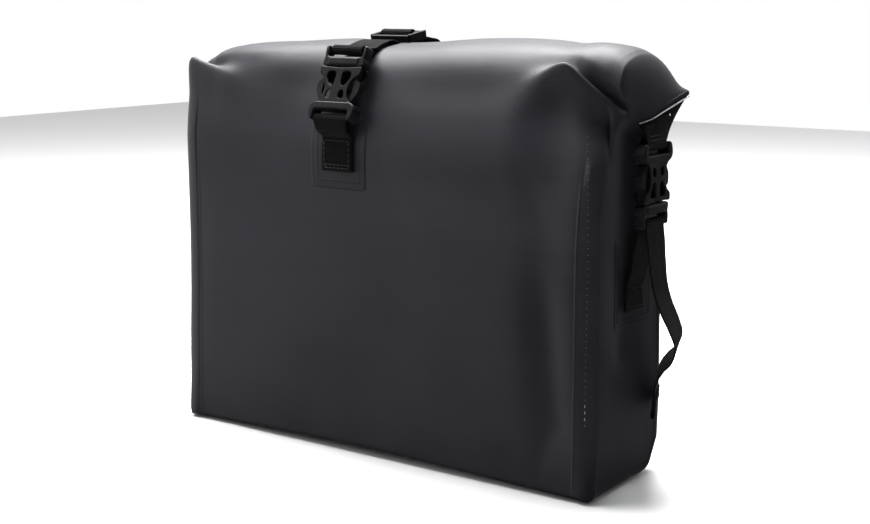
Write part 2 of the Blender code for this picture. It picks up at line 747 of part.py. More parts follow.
def build_latch(side, x):
    """A lever whose tongue closes the hook's mouth and whose tail is lifted by the handle."""
    py, pz = LATCH_PIVOT
    hub = arc((py, pz), 0.0040, -10, 100, 5)
    tongue = [(py + 0.0022, pz - 0.0120), (py + 0.0022, pz - 0.0225), (py + 0.0165, pz - 0.0280)]
    tongue = tongue + [(py + 0.0165, pz - 0.0312), (py + 0.0040, pz - 0.0312)]
    tongue = tongue + [(py - 0.0010, pz - 0.0245), (py - 0.0035, pz - 0.0100)]
    lever = [(py - 0.0060, pz - 0.0022), (py - 0.0205, pz - 0.0022), (py - 0.0205, pz + 0.0022)]
    outline = tongue + lever + [(py - 0.0045, pz + 0.0030)] + hub[::-1]
    low = x - LATCH_HALF_X
    high = x + LATCH_HALF_X
    latch = prism("hook_latch_" + side, outline, 0, low, high, "buckle_plastic")
    hole = prism("hole", circle(LATCH_PIVOT, PIN_R + 0.0004, 12), 0, low - 0.01, high + 0.01)
    combine(latch, [hole], "DIFFERENCE")
    set_origin(latch, (x, py, pz))


def build_handle():
    """A webbing grip that runs from one latch's tail to the other's."""
    foot = LATCH_PIVOT[1] + 0.0022 + GAP + WEB_T / 2
    half = HOOK_X + 0.006
    start = half - HANDLE_FLAT
    path = [(-half, foot), (-start, foot)]
    for i in range(1, 12):
        x = -start + 2 * start * i / 12
        path.append((x, foot + HANDLE_RISE * sin(pi * i / 12) ** 0.8))
    path = path + [(start, foot), (half, foot)]
    outline = strip_outline(path, WEB_T)
    add("carry_handle", prism_mesh(outline, 1, *HANDLE_Y), "webbing")


def build_lower_hook(face):
    """A slider on the lower rail, and a hook that swivels on its pin behind the rack's stay."""
    z = LOWER_Z
    box("lower_slider", (-0.016, 0.016), (face, face + SLIDER_T), (z - 0.014, z + 0.014), "buckle_plastic")
    near = face + SLIDER_T + GAP
    far = near + SWIVEL_REACH
    rear = near + SWIVEL_T
    wide = (-SWIVEL_ARM_HALF_X, SWIVEL_ARM_HALF_X)
    foot = z - SWIVEL_DROP
    plate = prism("lower_hook", circle((0.0, z), SWIVEL_R, 20), 1, near, rear, "buckle_plastic")
    arm = box("arm", wide, (near, rear), (foot, z - 0.0050))
    shelf = box("shelf", wide, (near, far), (foot, foot + 0.0050))
    lip = box("lip", wide, (far - SWIVEL_T, far), (foot + 0.0010, z - 0.0160))
    combine(plate, [arm, shelf, lip], "UNION")
    hole = prism("hole", circle((0.0, z), 0.0035, 16), 1, near - 0.01, near + 0.01)
    combine(plate, [hole], "DIFFERENCE")
    set_origin(plate, (0.0, near, z))
    pin = prism("lower_hook_pin", circle((0.0, z), 0.0030, 16), 1, near, rear + 0.0004, "steel")
    head = prism("head", circle((0.0, z), 0.0060, 16), 1, rear + 0.0004, rear + 0.0028)
    combine(pin, [head], "UNION")


def main():
    clear_scene()
    build_shell()
    build_neck()
    build_roll()
    build_front_closure()
    for side, sign in SIDES:
        build_side_closure(side, sign)
    build_rack_side()


main()
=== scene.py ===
import json
import math

import bmesh
import bpy
import numpy as np
from mathutils import Matrix, Vector
from mathutils.bvhtree import BVHTree


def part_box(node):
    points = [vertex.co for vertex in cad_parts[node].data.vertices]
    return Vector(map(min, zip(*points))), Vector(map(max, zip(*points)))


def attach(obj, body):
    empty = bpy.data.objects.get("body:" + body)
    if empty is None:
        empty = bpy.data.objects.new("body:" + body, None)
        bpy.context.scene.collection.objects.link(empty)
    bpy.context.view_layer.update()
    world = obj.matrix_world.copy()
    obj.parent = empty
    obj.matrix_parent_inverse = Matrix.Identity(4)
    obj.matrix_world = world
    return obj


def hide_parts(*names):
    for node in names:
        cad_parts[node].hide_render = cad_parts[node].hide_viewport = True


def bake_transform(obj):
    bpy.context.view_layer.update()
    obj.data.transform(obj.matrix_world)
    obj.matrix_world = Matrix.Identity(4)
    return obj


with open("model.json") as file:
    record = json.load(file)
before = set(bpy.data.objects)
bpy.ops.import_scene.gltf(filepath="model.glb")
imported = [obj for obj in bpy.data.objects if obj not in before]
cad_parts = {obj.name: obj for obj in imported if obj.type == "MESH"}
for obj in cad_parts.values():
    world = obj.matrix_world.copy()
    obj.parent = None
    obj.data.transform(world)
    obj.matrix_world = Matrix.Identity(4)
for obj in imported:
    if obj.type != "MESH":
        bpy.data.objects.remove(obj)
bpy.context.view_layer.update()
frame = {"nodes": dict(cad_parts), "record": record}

# The looks of a roll-top pannier bag. Metres, +Z up, X along the width, the front faces -Y.
# The fabric is one smooth skin: a tube that stands on the flat bottom, leans in at the top and
# runs on over the rolled closure. Patches, tabs and webbing are laid on that skin. The buckle
# bodies and the tri-glide are moulded here, and the other hard parts keep the CAD's shape.

PANEL_LOW, PANEL_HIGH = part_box("front_panel")
HALF_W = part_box("gusset")[1].x
FRONT_Y = PANEL_LOW.y
REAR_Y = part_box("back_panel")[1].y
SEAM_X = PANEL_HIGH.x
SEAM_Y = 0.0455
SIDES = (("right", 1), ("left", -1))

# Webbing: width and thickness. Bottom edge radii of the fabric.
WEB = 0.030
WEB_T = 0.0013
RADIUS_FRONT = 0.0045
RADIUS_SIDE = 0.0075
RADIUS_REAR = 0.0060

# The front buckle leans back with the fabric, the side ones hang straight down. Each place is
# the middle of the loop bar's edge, and distances run from there towards the strap bar.
FRONT_BUCKLE = Vector((-0.030, -0.0645, 0.268))
FRONT_LEAN = math.radians(23.6)
SIDE_BUCKLE = Vector((0.2075, 0.011, 0.258))
LOOP_BAR = 0.0015
STRAP_BAR = 0.05835
LOOP_R = 0.0034
GLIDE_PLACE = Vector((-0.030, 0.0225, 0.3310))
GLIDE_TILT = math.radians(9.0)

# The webbing sewn below the front buckle, and how far patches and sewn webbing stand off the skin.
ANCHOR_LOW = 0.2280
ANCHOR_HIGH = 0.2570
PATCH_LIFT = 0.0007
PATCH_BEAD = 0.00045
ANCHOR_LIFT = 0.0016
SIDE_LIFT = 0.0017


# ---------------------------------------------------------------- materials


class Nodes:
    """A short way to build one material's nodes."""

    def __init__(self, name, colour, roughness, specular=None, **sockets):
        self.material = bpy.data.materials.new(name)
        self.material.use_nodes = True
        self.tree = self.material.node_tree
        self.shader = self.tree.nodes["Principled BSDF"]
        self.material.diffuse_color = (*colour, 1.0)
        self.shader.inputs["Base Color"].default_value = (*colour, 1.0)
        self.shader.inputs["Roughness"].default_value = roughness
        if specular is not None:
            self.shader.inputs["Specular IOR Level"].default_value = specular
        for key, value in sockets.items():
            self.shader.inputs[key.replace("_", " ")].default_value = value
        self.height = None

    def add(self, kind, **values):
        node = self.tree.nodes.new("ShaderNode" + kind)
        for key, value in values.items():
            setattr(node, key, value)
        return node

    def link(self, a, b):
        self.tree.links.new(a, b)

    def coordinates(self, scale, uv=False):
        source = self.add("UVMap", uv_map="metres") if uv else self.add("TexCoord")
        mapping = self.add("Mapping")
        mapping.inputs["Scale"].default_value = scale
        self.link(source.outputs["UV" if uv else "Object"], mapping.inputs["Vector"])
        return mapping.outputs["Vector"]

    def noise(self, scale, detail=3.0, rough=0.5, stretch=(1, 1, 1), uv=False):
        node = self.add("TexNoise")
        node.inputs["Scale"].default_value = scale
        node.inputs["Detail"].default_value = detail
        node.inputs["Roughness"].default_value = rough
        self.link(self.coordinates(stretch, uv), node.inputs["Vector"])
        return node.outputs["Fac"]

    def ribs(self, pitch, direction):
        """A sine ripple across the given direction, one period every `pitch` metres."""
        node = self.add("TexWave", wave_type="BANDS", bands_direction=direction, wave_profile="SIN")
        node.inputs["Scale"].default_value = math.tau / 20.0 / pitch
        self.link(self.coordinates((1, 1, 1), uv=True), node.inputs["Vector"])
        return node.outputs["Fac"]

    def remap(self, value, low, high, start=0.0, end=1.0):
        node = self.add("MapRange")
        node.inputs["From Min"].default_value = start
        node.inputs["From Max"].default_value = end
        node.inputs["To Min"].default_value = low
        node.inputs["To Max"].default_value = high
        self.link(value, node.inputs["Value"])
        return node.outputs["Result"]

    def math(self, operation, a, b):
        node = self.add("Math", operation=operation)
        for socket, value in zip(node.inputs, (a, b)):
            if isinstance(value, float):
                socket.default_value = value
            else:
                self.link(value, socket)
        return node.outputs["Value"]

    def blend(self, a, b, share):
        """`share` of a and the rest of b."""
        return self.math("ADD", self.math("MULTIPLY", a, share), self.math("MULTIPLY", b, 1.0 - share))

    def colours(self, value, dark, light):
        node = self.add("Mix", data_type="RGBA")
        self.link(value, node.inputs["Factor"])
        node.inputs["A"].default_value = (*dark, 1.0)
        node.inputs["B"].default_value = (*light, 1.0)
        self.link(node.outputs["Result"], self.shader.inputs["Base Color"])

    def roughness(self, value, low, high):
        self.link(self.remap(value, low, high), self.shader.inputs["Roughness"])

    def bump(self, value, distance):
        """Adds one layer of relief, `distance` metres high."""
        node = self.add("Bump")
        node.inputs["Distance"].default_value = distance
        self.link(value, node.inputs["Height"])
        if self.height is not None:
            self.link(self.height, node.inputs["Normal"])
        self.height = node.outputs["Normal"]
        self.link(self.height, self.shader.inputs["Normal"])


def coated_fabric():
    """Matte coated cloth: faint cross ribs, soft mottling and a low sheen."""
    m = Nodes("coated_fabric", (0.020, 0.020, 0.024), 0.50, 0.34, Sheen_Weight=0.03, Sheen_Roughness=0.45)
    weave = m.ribs(0.00085, "Y")
    cross = m.ribs(0.00085, "X")
    clouds = m.noise(16.0, 4.0, 0.55)
    grain = m.noise(900.0, 2.0, 0.6)
    streaks = m.noise(60.0, 3.0, 0.6, stretch=(0.06, 1.0, 1.0), uv=True)
    tone = m.blend(clouds, streaks, 0.6)
    m.colours(m.remap(tone, 0.0, 1.0, 0.32, 0.68), (0.0093, 0.0090, 0.0130), (0.0146, 0.0142, 0.0204))
    m.roughness(m.blend(clouds, grain, 0.7), 0.42, 0.60)
    m.bump(weave, 0.000035)
    m.bump(cross, 0.000015)
    m.bump(streaks, 0.00010)
    m.bump(grain, 0.00003)
    return m.material


def band_fabric():
    """The patches and the mouth's folded layer: the same cloth with a smoother, darker coat."""
    m = Nodes("seam_tape", (0.018, 0.018, 0.021), 0.46, 0.34, Sheen_Weight=0.02)
    clouds = m.noise(22.0, 3.0, 0.5)
    grain = m.noise(700.0, 2.0, 0.6)
    m.colours(m.remap(clouds, 0.0, 1.0, 0.3, 0.7), (0.0070, 0.0068, 0.0098), (0.0110, 0.0107, 0.0150))
    m.roughness(clouds, 0.40, 0.56)
    m.bump(grain, 0.00003)
    return m.material


def webbing_cloth():
    """Ribbed polypropylene webbing: cross ribs, crossed yarns and slightly frayed tone."""
    m = Nodes("webbing_cloth", (0.012, 0.012, 0.014), 0.80, 0.07, Sheen_Weight=0.02, Sheen_Roughness=0.4)
    ribs = m.ribs(0.0014, "Y")
    yarns = m.ribs(0.0014, "X")
    fuzz = m.noise(1500.0, 2.0, 0.7)
    wear = m.noise(55.0, 3.0, 0.6)
    weave = m.math("MULTIPLY", ribs, m.remap(yarns, 0.45, 1.0))
    tone = m.blend(weave, wear, 0.55)
    m.colours(m.remap(tone, 0.0, 1.0, 0.15, 0.85), (0.0005, 0.0005, 0.0007), (0.0090, 0.0088, 0.0102))
    m.roughness(fuzz, 0.66, 0.92)
    m.bump(weave, 0.00040)
    m.bump(fuzz, 0.00006)
    return m.material


def thread():
    """The dark thread that sews the webbing."""
    m = Nodes("thread", (0.02, 0.02, 0.022), 0.7)
    twist = m.noise(2500.0, 1.0, 0.5)
    m.colours(twist, (0.012, 0.012, 0.014), (0.034, 0.034, 0.037))
    m.bump(twist, 0.00005)
    return m.material


def pale_thread():
    """The grey thread that shows through the seam band."""
    m = Nodes("pale_thread", (0.30, 0.30, 0.31), 0.55)
    m.colours(m.noise(2500.0, 1.0, 0.5), (0.16, 0.16, 0.17), (0.42, 0.42, 0.43))
    return m.material


def moulded_plastic():
    """Acetal buckles: satin black with a fine spark-eroded grain and polished-off edges."""
    m = Nodes("buckle_plastic", (0.008, 0.008, 0.009), 0.34, 0.14)
    grain = m.noise(2600.0, 2.0, 0.6)
    scuff = m.noise(70.0, 4.0, 0.65)
    m.colours(m.remap(scuff, 0.0, 1.0, 0.3, 0.75), (0.0045, 0.0045, 0.0052), (0.0100, 0.0099, 0.0110))
    m.roughness(m.blend(scuff, grain, 0.75), 0.27, 0.46)
    m.bump(grain, 0.000025)
    return m.material


def board_sheet():
    """The stiff plastic sheet behind the rear panel."""
    m = Nodes("board", (0.050, 0.050, 0.055), 0.60)
    clouds = m.noise(40.0, 3.0, 0.5)
    m.colours(clouds, (0.040, 0.040, 0.044), (0.062, 0.062, 0.068))
    m.roughness(clouds, 0.5, 0.7)
    m.bump(m.noise(1200.0, 2.0, 0.6), 0.00004)
    return m.material


def brushed_steel():
    """Screws, pins and the strap's anchor plate."""
    m = Nodes("steel", (0.56, 0.57, 0.58), 0.30, Metallic=1.0)
    brushed = m.noise(300.0, 3.0, 0.7, stretch=(1.0, 0.06, 1.0))
    m.colours(brushed, (0.44, 0.45, 0.46), (0.64, 0.65, 0.66))
    m.roughness(brushed, 0.22, 0.42)
    m.bump(brushed, 0.00003)
    return m.material


def painted_highlight_edge():
    """The cut edge of the stiffened mouth, paler than the cloth: its pale colour is a painted highlight
    along that edge.
    """
    m = Nodes("mouth_edge_highlight", (0.30, 0.30, 0.31), 0.5)
    # Patchy tone across the painted highlight.
    patchy_highlight = m.noise(140.0, 3.0, 0.6)
    m.colours(m.remap(patchy_highlight, 0.0, 1.0, 0.3, 0.7), (0.17, 0.17, 0.18), (0.42, 0.42, 0.43))
    m.roughness(patchy_highlight, 0.4, 0.6)
    m.bump(patchy_highlight, 0.0001)
    return m.material


# ---------------------------------------------------------------- geometry helpers


def smoothstep(a, b, x):
    t = np.clip((np.asarray(x, float) - a) / (b - a), 0.0, 1.0)
    return t * t * (3.0 - 2.0 * t)


def hump(x, centre, width):
    return np.exp(-(((np.asarray(x, float) - centre) / width) ** 2))


def unit(v):
    """Unit length, for one vector or for each row of an array."""
    v = np.asarray(v, float)
    return v / np.linalg.norm(v, axis=-1, keepdims=True)


def run_length(points):
    """Distance along a line of points, from its first point."""
    return np.r_[0.0, np.cumsum(np.linalg.norm(np.diff(points, axis=0), axis=1))]


def squared(angle, power):
    """Cosine and sine of an angle in radians, squared up or rounded off by `power`."""
    return [math.copysign(abs(v) ** power, v) for v in (math.cos(angle), math.sin(angle))]


def tangents(points, spacing):
    """Finite-difference slopes of `points` (N, ...) at uneven `spacing` (N-1, ...)."""
    slope = np.diff(points, axis=0) / spacing
    out = np.empty_like(points)
    out[0] = slope[0]
    out[-1] = slope[-1]
    before = spacing[:-1]
    after = spacing[1:]
    out[1:-1] = (slope[:-1] * after + slope[1:] * before) / (before + after)
    return out


def hermite(p0, p1, m0, m1, t):
    t2 = t * t
    t3 = t2 * t
    return (2 * t3 - 3 * t2 + 1) * p0 + (t3 - 2 * t2 + t) * m0 + (3 * t2 - 2 * t3) * p1 + (t3 - t2) * m1


def spline_rows(controls, counts):
    """Smooth curves through rows of control points.

    controls is (M, C, 3): M control rows of C columns. counts gives the steps in each of the
    M - 1 spans. Returns (sum(counts) + 1, C, 3).
    """
    controls = np.asarray(controls, float)
    chord = np.linalg.norm(np.diff(controls, axis=0), axis=2, keepdims=True)
    chord = np.maximum(chord, 1e-6) ** 0.75
    slope = tangents(controls, chord)
    rows = []
    for k, count in enumerate(counts):
        for i in range(count):
            h = chord[k]
            rows.append(hermite(controls[k], controls[k + 1], slope[k] * h, slope[k + 1] * h, i / count))
    rows.append(controls[-1])
    return np.array(rows)


def smooth_path(points, count):
    """`count` + 1 points, evenly spread by length, on a smooth curve through `points`."""
    points = np.asarray(points, float)
    fine = spline_rows(points[:, None, :], [24] * (len(points) - 1))[:, 0]
    length = run_length(fine)
    at = np.linspace(0.0, length[-1], count + 1)
    return np.stack([np.interp(at, length, fine[:, k]) for k in range(3)], 1)


def interpolate(at, xs, values):
    """Smooth interpolation of `values` (K, P) given at `xs` (K), without overshoot."""
    xs = np.asarray(xs, float)
    values = np.asarray(values, float)
    step = np.diff(xs)[:, None]
    secant = np.diff(values, axis=0) / step
    slope = tangents(values, step)
    for k in range(1, len(xs) - 1):
        same = secant[k - 1] * secant[k] > 0
        limit = 3.0 * np.minimum(np.abs(secant[k - 1]), np.abs(secant[k]))
        slope[k] = np.where(same, np.clip(slope[k], -limit, limit), 0.0)
    at = np.asarray(at, float)
    k = np.clip(np.searchsorted(xs, at, side="right") - 1, 0, len(xs) - 2)
    t = ((at - xs[k]) / (xs[k + 1] - xs[k]))[:, None]
    h = step[k]
    return hermite(values[k], values[k + 1], slope[k] * h, slope[k + 1] * h, t)


def grid_faces(rows, cols, closed=False, first=0):
    faces = []
    for r in range(rows - 1):
        for c in range(cols if closed else cols - 1):
            d = (c + 1) % cols
            a = first + r * cols
            b = a + cols
            faces.append((a + c, a + d, b + d, b + c))
    return faces


def make(name, verts, faces, material, body=None, uvs=None):
    """A smooth-shaded mesh object from arrays, riding on `body`."""
    mesh = bpy.data.meshes.new(name)
    mesh.from_pydata([tuple(map(float, v)) for v in verts], [], faces)
    if uvs is not None:
        layer = mesh.uv_layers.new(name="metres")
        index = np.zeros(len(mesh.loops), int)
        mesh.loops.foreach_get("vertex_index", index)
        layer.data.foreach_set("uv", np.asarray(uvs, float)[index].astype(np.float32).ravel())
    mesh.shade_smooth()
    mesh.materials.append(material)
    obj = bpy.data.objects.new(name, mesh)
    bpy.context.scene.collection.objects.link(obj)
    if body:
        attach(obj, body)
    return obj


def edit(obj, *steps):
    """Runs each step, a function of a bmesh, on the object's mesh."""
    bm = bmesh.new()
    bm.from_mesh(obj.data)
    for step in steps:
        step(bm)
    bm.to_mesh(obj.data)
    bm.free()


def face_outwards(bm):
    bmesh.ops.recalc_face_normals(bm, faces=bm.faces)


def merge_doubles(bm):
    bmesh.ops.remove_doubles(bm, verts=bm.verts, dist=1e-6)


def cut_edges_twice(bm):
    bmesh.ops.subdivide_edges(bm, edges=bm.edges, cuts=2, use_grid_fill=True)


def bevel(obj, width):
    mod = obj.modifiers.new("edges", "BEVEL")
    mod.width = width
    mod.segments = 2
    mod.limit_method = "ANGLE"
    mod.angle_limit = math.radians(30.0)
    mod.harden_normals = True


# ---------------------------------------------------------------- the fabric skin

# Stations round the bag, from the front's middle to the back's middle. Each is
# base x, base y, then the point where the standing fabric ends (x, y, z).
# Front stations go on over the roll: roll x, start angle, front y, centre y, rear y, top z, base z.
RIGHT_FRONT = (
    (0.000, -0.0555, 0.000, -0.0430, 0.2930, 0.000, 172, -0.0352, 0.017, 0.041, 0.3262, 0.2865),
    (0.064, -0.0555, 0.064, -0.0430, 0.2930, 0.064, 172, -0.0363, 0.016, 0.041, 0.3304, 0.2865),
    (0.100, -0.0555, 0.100, -0.0426, 0.2950, 0.100, 172, -0.0360, 0.015, 0.041, 0.3310, 0.2865),
    (0.130, -0.0555, 0.128, -0.0408, 0.3015, 0.129, 171, -0.0350, 0.014, 0.041, 0.3300, 0.2865),
    (0.152, -0.0552, 0.147, -0.0375, 0.3125, 0.149, 168, -0.0325, 0.012, 0.041, 0.3284, 0.2862),
    (0.169, -0.0552, 0.160, -0.0370, 0.3168, 0.163, 172, -0.0300, 0.010, 0.042, 0.3292, 0.2860),
    (0.182, -0.0542, 0.171, -0.0347, 0.3095, 0.175, 192, -0.0280, 0.010, 0.043, 0.3288, 0.2850),
    (0.190, -0.0515, 0.1805, -0.0318, 0.3005, 0.185, 208, -0.0260, 0.010, 0.045, 0.3272, 0.2830),
    (0.1965, -0.0455, 0.1895, -0.0280, 0.2915, 0.1925, 220, -0.0250, 0.011, 0.047, 0.3248, 0.2810),
    (0.1970, -0.0340, 0.1965, -0.0255, 0.2845, 0.1985, 226, -0.0250, 0.012, 0.048, 0.3216, 0.2785),
)
LEFT_FRONT = (
    (0.030, -0.0555, 0.030, -0.0430, 0.2930, 0.030, 172, -0.0363, 0.015, 0.041, 0.3258, 0.2865),
    (0.064, -0.0555, 0.064, -0.0430, 0.2930, 0.064, 172, -0.0363, 0.014, 0.041, 0.3285, 0.2865),
    (0.110, -0.0555, 0.110, -0.0485, 0.2930, 0.110, 173, -0.0432, -0.002, 0.040, 0.3262, 0.2865),
    (0.135, -0.0555, 0.135, -0.0490, 0.2960, 0.135, 174, -0.0436, -0.008, 0.039, 0.3252, 0.2860),
    (0.152, -0.0555, 0.152, -0.0490, 0.3010, 0.152, 172, -0.0430, -0.011, 0.040, 0.3238, 0.2855),
    (0.169, -0.0555, 0.169, -0.0470, 0.3060, 0.167, 174, -0.0400, -0.010, 0.041, 0.3218, 0.2850),
    (0.184, -0.0552, 0.184, -0.0470, 0.3100, 0.179, 178, -0.0390, -0.007, 0.042, 0.3198, 0.2845),
    (0.194, -0.0535, 0.194, -0.0470, 0.3128, 0.188, 184, -0.0360, 0.004, 0.044, 0.3165, 0.2830),
    (0.2000, -0.0480, 0.1995, -0.0445, 0.3090, 0.194, 200, -0.0360, 0.006, 0.046, 0.3150, 0.2810),
    (0.2000, -0.0360, 0.2000, -0.0330, 0.2980, 0.1985, 222, -0.0340, 0.008, 0.047, 0.3130, 0.2785),
)
SIDE_AND_REAR = (
    (0.197, -0.018, 0.1990, -0.0135, 0.2830),
    (0.197, 0.004, 0.1985, 0.0010, 0.2782),
    (0.197, 0.028, 0.1965, 0.0260, 0.2790),
    (0.1975, 0.0475, 0.1940, 0.0420, 0.2820),
    (0.1930, 0.0535, 0.1890, 0.0465, 0.2835),
    (0.182, 0.0555, 0.1790, 0.0480, 0.2845),
    (0.110, 0.0555, 0.1100, 0.0480, 0.2850),
    (0.000, 0.0555, 0.0000, 0.0480, 0.2850),
)
# The mouth's edge at the right end of the roll, from the front's lowest point to the rear
# tip and back underneath.
EDGE_LINE = np.array(
    (
        (0.1990, -0.0165, 0.2775),
        (0.2003, -0.0085, 0.2745),
        (0.2025, -0.0020, 0.2740),
        (0.2060, 0.0080, 0.2762),
        (0.2095, 0.0200, 0.2808),
        (0.2140, 0.0350, 0.2868),
        (0.2175, 0.0475, 0.2915),
        (0.2120, 0.0380, 0.2850),
        (0.2040, 0.0180, 0.2770),
    )
)
LEVELS = (0.045, 0.090, 0.135, 0.180, 0.220, 0.248)
LEVEL_STEPS = (2, 9, 9, 9, 8, 6, 6, 9, 4)
BOTTOM_STEPS = 9
ROLL_POINTS = 9
ROLL_STEPS = 5
ROLL_END_ANGLE = -95.0
ROLL_POWER = 0.88
CAP_COLUMNS = 22
CHEEK_DEPTH = 0.0120
RIM_RISE = 0.52
RIM_LEAN = 0.36
HEEL_R = 0.030


def on_roll(station, degrees):
    """A point (y, z) round the roll at one front station."""
    front, centre, rear, top, base = station[2:]
    c, s = squared(math.radians(degrees), ROLL_POWER)
    depth = (rear - centre) if c > 0 else (centre - front)
    return centre + depth * c, 0.5 * (top + base) + 0.5 * (top - base) * s


def arc_points(station):
    """Control points over the roll for one front station, as (x, y, z)."""
    roll_x, start = station[:2]
    points = []
    for i in range(ROLL_POINTS):
        angle = start + (ROLL_END_ANGLE - start) * i / (ROLL_POINTS - 1)
        points.append((roll_x, *on_roll(station, angle)))
    return points


def stations():
    """The left half reversed and mirrored, then the right half: one run round the whole bag."""
    def mirror(row, length):
        out = list(row[:length])
        out[0] *= -1
        out[2] *= -1
        if length > 5:
            out[5] *= -1
        return out

    left = [mirror(row, 12) for row in LEFT_FRONT][::-1]
    right = [list(row) for row in RIGHT_FRONT]
    rear_right = [list(row) for row in SIDE_AND_REAR]
    rear_left = [mirror(row, 5) for row in SIDE_AND_REAR[:-1]][::-1]
    return left + right, rear_right + rear_left


def column_places(knots, fine_spans, coarse=0.0042, fine=0.00045):
    """Column positions along the perimeter: closer together inside `fine_spans`."""
    places = [knots[0]]
    while places[-1] < knots[-1] - 1e-9:
        here = places[-1]
        near = any(a - 0.001 <= here <= b for a, b in fine_spans)
        step = fine if near else coarse
        for a, b in fine_spans:
            if here < a - 0.001 < here + step:
                step = a - 0.001 - here
        places.append(min(here + max(step, 1e-4), knots[-1]))
    if places[-1] - places[-2] < 0.2 * fine:
        places.pop(-2)
    return np.array(places)


def edge_radius(normal):
    """Radius of the bottom edge for an outward direction in plan."""
    front = max(0.0, -normal[1])
    rear = max(0.0, normal[1])
    side = abs(normal[0])
    total = front**2 + rear**2 + side**2
    return (RADIUS_FRONT * front**2 + RADIUS_REAR * rear**2 + RADIUS_SIDE * side**2) / total


# Soft waves of the front: height, turns across and up, phase, then the z where they lie and spread.
WAVES = ((0.0008, 23.0, 31.0, 0.6, 0.19, 0.055), (0.0006, 41.0, -19.0, 0.0, 0.09, 0.060))
# Sharper folds along slanting lines x + slope * z = place: height, slope, place, width, then the z
# where each lies and its spread. A crease at the right, the corner's mitre, a low fold and the
# pull below the buckle.
FOLDS = (
    (-0.0013, 0.55, 0.2655, 0.008, 0.205, 0.030),
    (0.0016, -0.90, 0.1436, 0.004, 0.024, 0.014),
    (-0.0014, -1.30, 0.0980, 0.009, 0.030, 0.022),
    (0.0010, 0.90, 0.2275, 0.006, 0.205, 0.020),
)
SWELL = 0.0026
HOLLOW = -0.0060


def front_bulge(x, z):
    """How far the front stands forward of its flat plane, at a place on it."""
    across = 1.0 - np.clip(np.abs(x) / SEAM_X, 0, 1) ** 5
    out = SWELL * across * np.sin(math.pi * np.clip(z / 0.215, 0, 1)) ** 0.8
    for high, a, b, phase, place, spread in WAVES:
        out += high * np.sin(a * x + b * z + phase) * hump(z, place, spread) * across
    for high, slope, line, width, place, spread in FOLDS:
        out += high * hump(x + slope * z, line, width) * hump(z, place, spread)
    standing = smoothstep(0.010, 0.060, z) * (1.0 - smoothstep(0.13, 0.20, z))
    return out + HOLLOW * hump(x + 0.10 * z, 0.170, 0.0135) * standing


def gusset_dent(y, z):
    """How far the side walls sink in along their middle, deepest near the top."""
    depth = 0.0065 * smoothstep(0.060, 0.110, z) * (0.55 + 0.45 * smoothstep(0.10, 0.24, z))
    spot = 0.0016 * hump(z, 0.108, 0.014) * hump(y, -0.004, 0.012)
    return depth * hump(y, -0.002, 0.021) + spot


def seam_relief(x, y, z):
    """Height of the welded band and its bead over the panels."""
    wide = np.abs(x)
    deep = np.abs(y)
    front = smoothstep(SEAM_X - 0.0010, SEAM_X - 0.0002, wide) * (y < -0.03)
    inner = smoothstep(SEAM_Y - 0.0008, SEAM_Y, deep) * (wide > 0.185)
    fade = 1.0 - smoothstep(0.195, 0.245, z)
    pressed = np.where(x < 0, 0.35, 1.0)
    band = np.where(wide < 0.185, 0.0007 * front * fade * pressed, 0.0007 * inner)
    bead = 0.0006 * hump(wide, SEAM_X, 0.00055) * fade * (y < -0.03) * np.where(x < 0, 0.1, 1.0)
    edge = PATCH_BEAD * hump(deep, SEAM_Y, 0.0006) * (wide > 0.188)
    return band + bead + edge


class Plan:
    """The columns round the bag: their outline, outward directions and bottom edge radii."""

    def __init__(self, front, rest):
        loop = front + rest + front[:1]
        self.outline = np.array([row[:2] for row in loop])
        self.knots = run_length(self.outline)
        self.front_knots = self.knots[: len(front)]
        fine = self.seam_spans()
        self.front_cols = column_places(self.front_knots, fine)
        rest_cols = column_places(self.knots[len(front) - 1 :], fine)[1:-1]
        self.cols = np.r_[self.front_cols, rest_cols]
        self.base = interpolate(self.cols, self.knots, self.outline)
        self.top = interpolate(self.cols, self.knots, [row[2:5] for row in loop])
        self.normal = self.outward()
        self.radius = self.edge_radii()

    def seam_spans(self):
        """Where the columns are close together: at the front beads and the gusset's edges."""
        seams = ((SEAM_X, -0.054, 0.0025), (0.196, -SEAM_Y, 0.0018), (0.196, SEAM_Y, 0.0018))
        spans = []
        for sign in (-1, 1):
            for x, y, reach in seams:
                away = np.hypot(self.outline[:, 0] - sign * x, self.outline[:, 1] - y)
                place = self.knots[int(np.argmin(away))]
                spans.append((place - reach, place + reach))
        return spans

    def outward(self):
        ahead = np.roll(self.base, -1, axis=0) - np.roll(self.base, 1, axis=0)
        normal = unit(np.stack([ahead[:, 1], -ahead[:, 0]], 1))
        for _ in range(3):
            normal = unit(0.5 * normal + 0.25 * (np.roll(normal, 1, axis=0) + np.roll(normal, -1, axis=0)))
        return normal

    def edge_radii(self):
        radius = np.array([edge_radius(n) for n in self.normal])
        reach = 12
        window = np.ones(2 * reach + 1) / (2 * reach + 1)
        return np.convolve(np.r_[radius[-reach:], radius, radius[:reach]], window, "valid")


def bottom_rows(plan):
    """The rounded edge between the flat bottom and the walls."""
    rows = []
    for i in range(BOTTOM_STEPS):
        angle = math.radians(90.0 * i / BOTTOM_STEPS)
        inset = plan.radius * (1.0 - math.sin(angle))
        z = plan.radius * (1.0 - math.cos(angle))
        rows.append(np.c_[plan.base - plan.normal * inset[:, None], z])
    return rows


def wall_controls(plan):
    """Control rows up the walls, which lean in over the last two spans."""
    base = plan.base
    top = plan.top
    controls = [np.c_[base, plan.radius]]
    cheek = smoothstep(0.118, 0.172, base[:, 0]) * smoothstep(-0.030, -0.044, base[:, 1])
    for level in LEVELS:
        row = np.c_[base, np.full(len(base), level)]
        row[:, 1] += CHEEK_DEPTH * cheek * smoothstep(0.185, 0.290, level)
        controls.append(row)
    rim = controls[-1] + RIM_RISE * (top - controls[-1])
    rim[:, :2] = base + (top[:, :2] - base) * RIM_LEAN
    rim[:, 0] -= 0.0025 * cheek
    rim[:, 1] += CHEEK_DEPTH * cheek
    return controls + [rim, top]


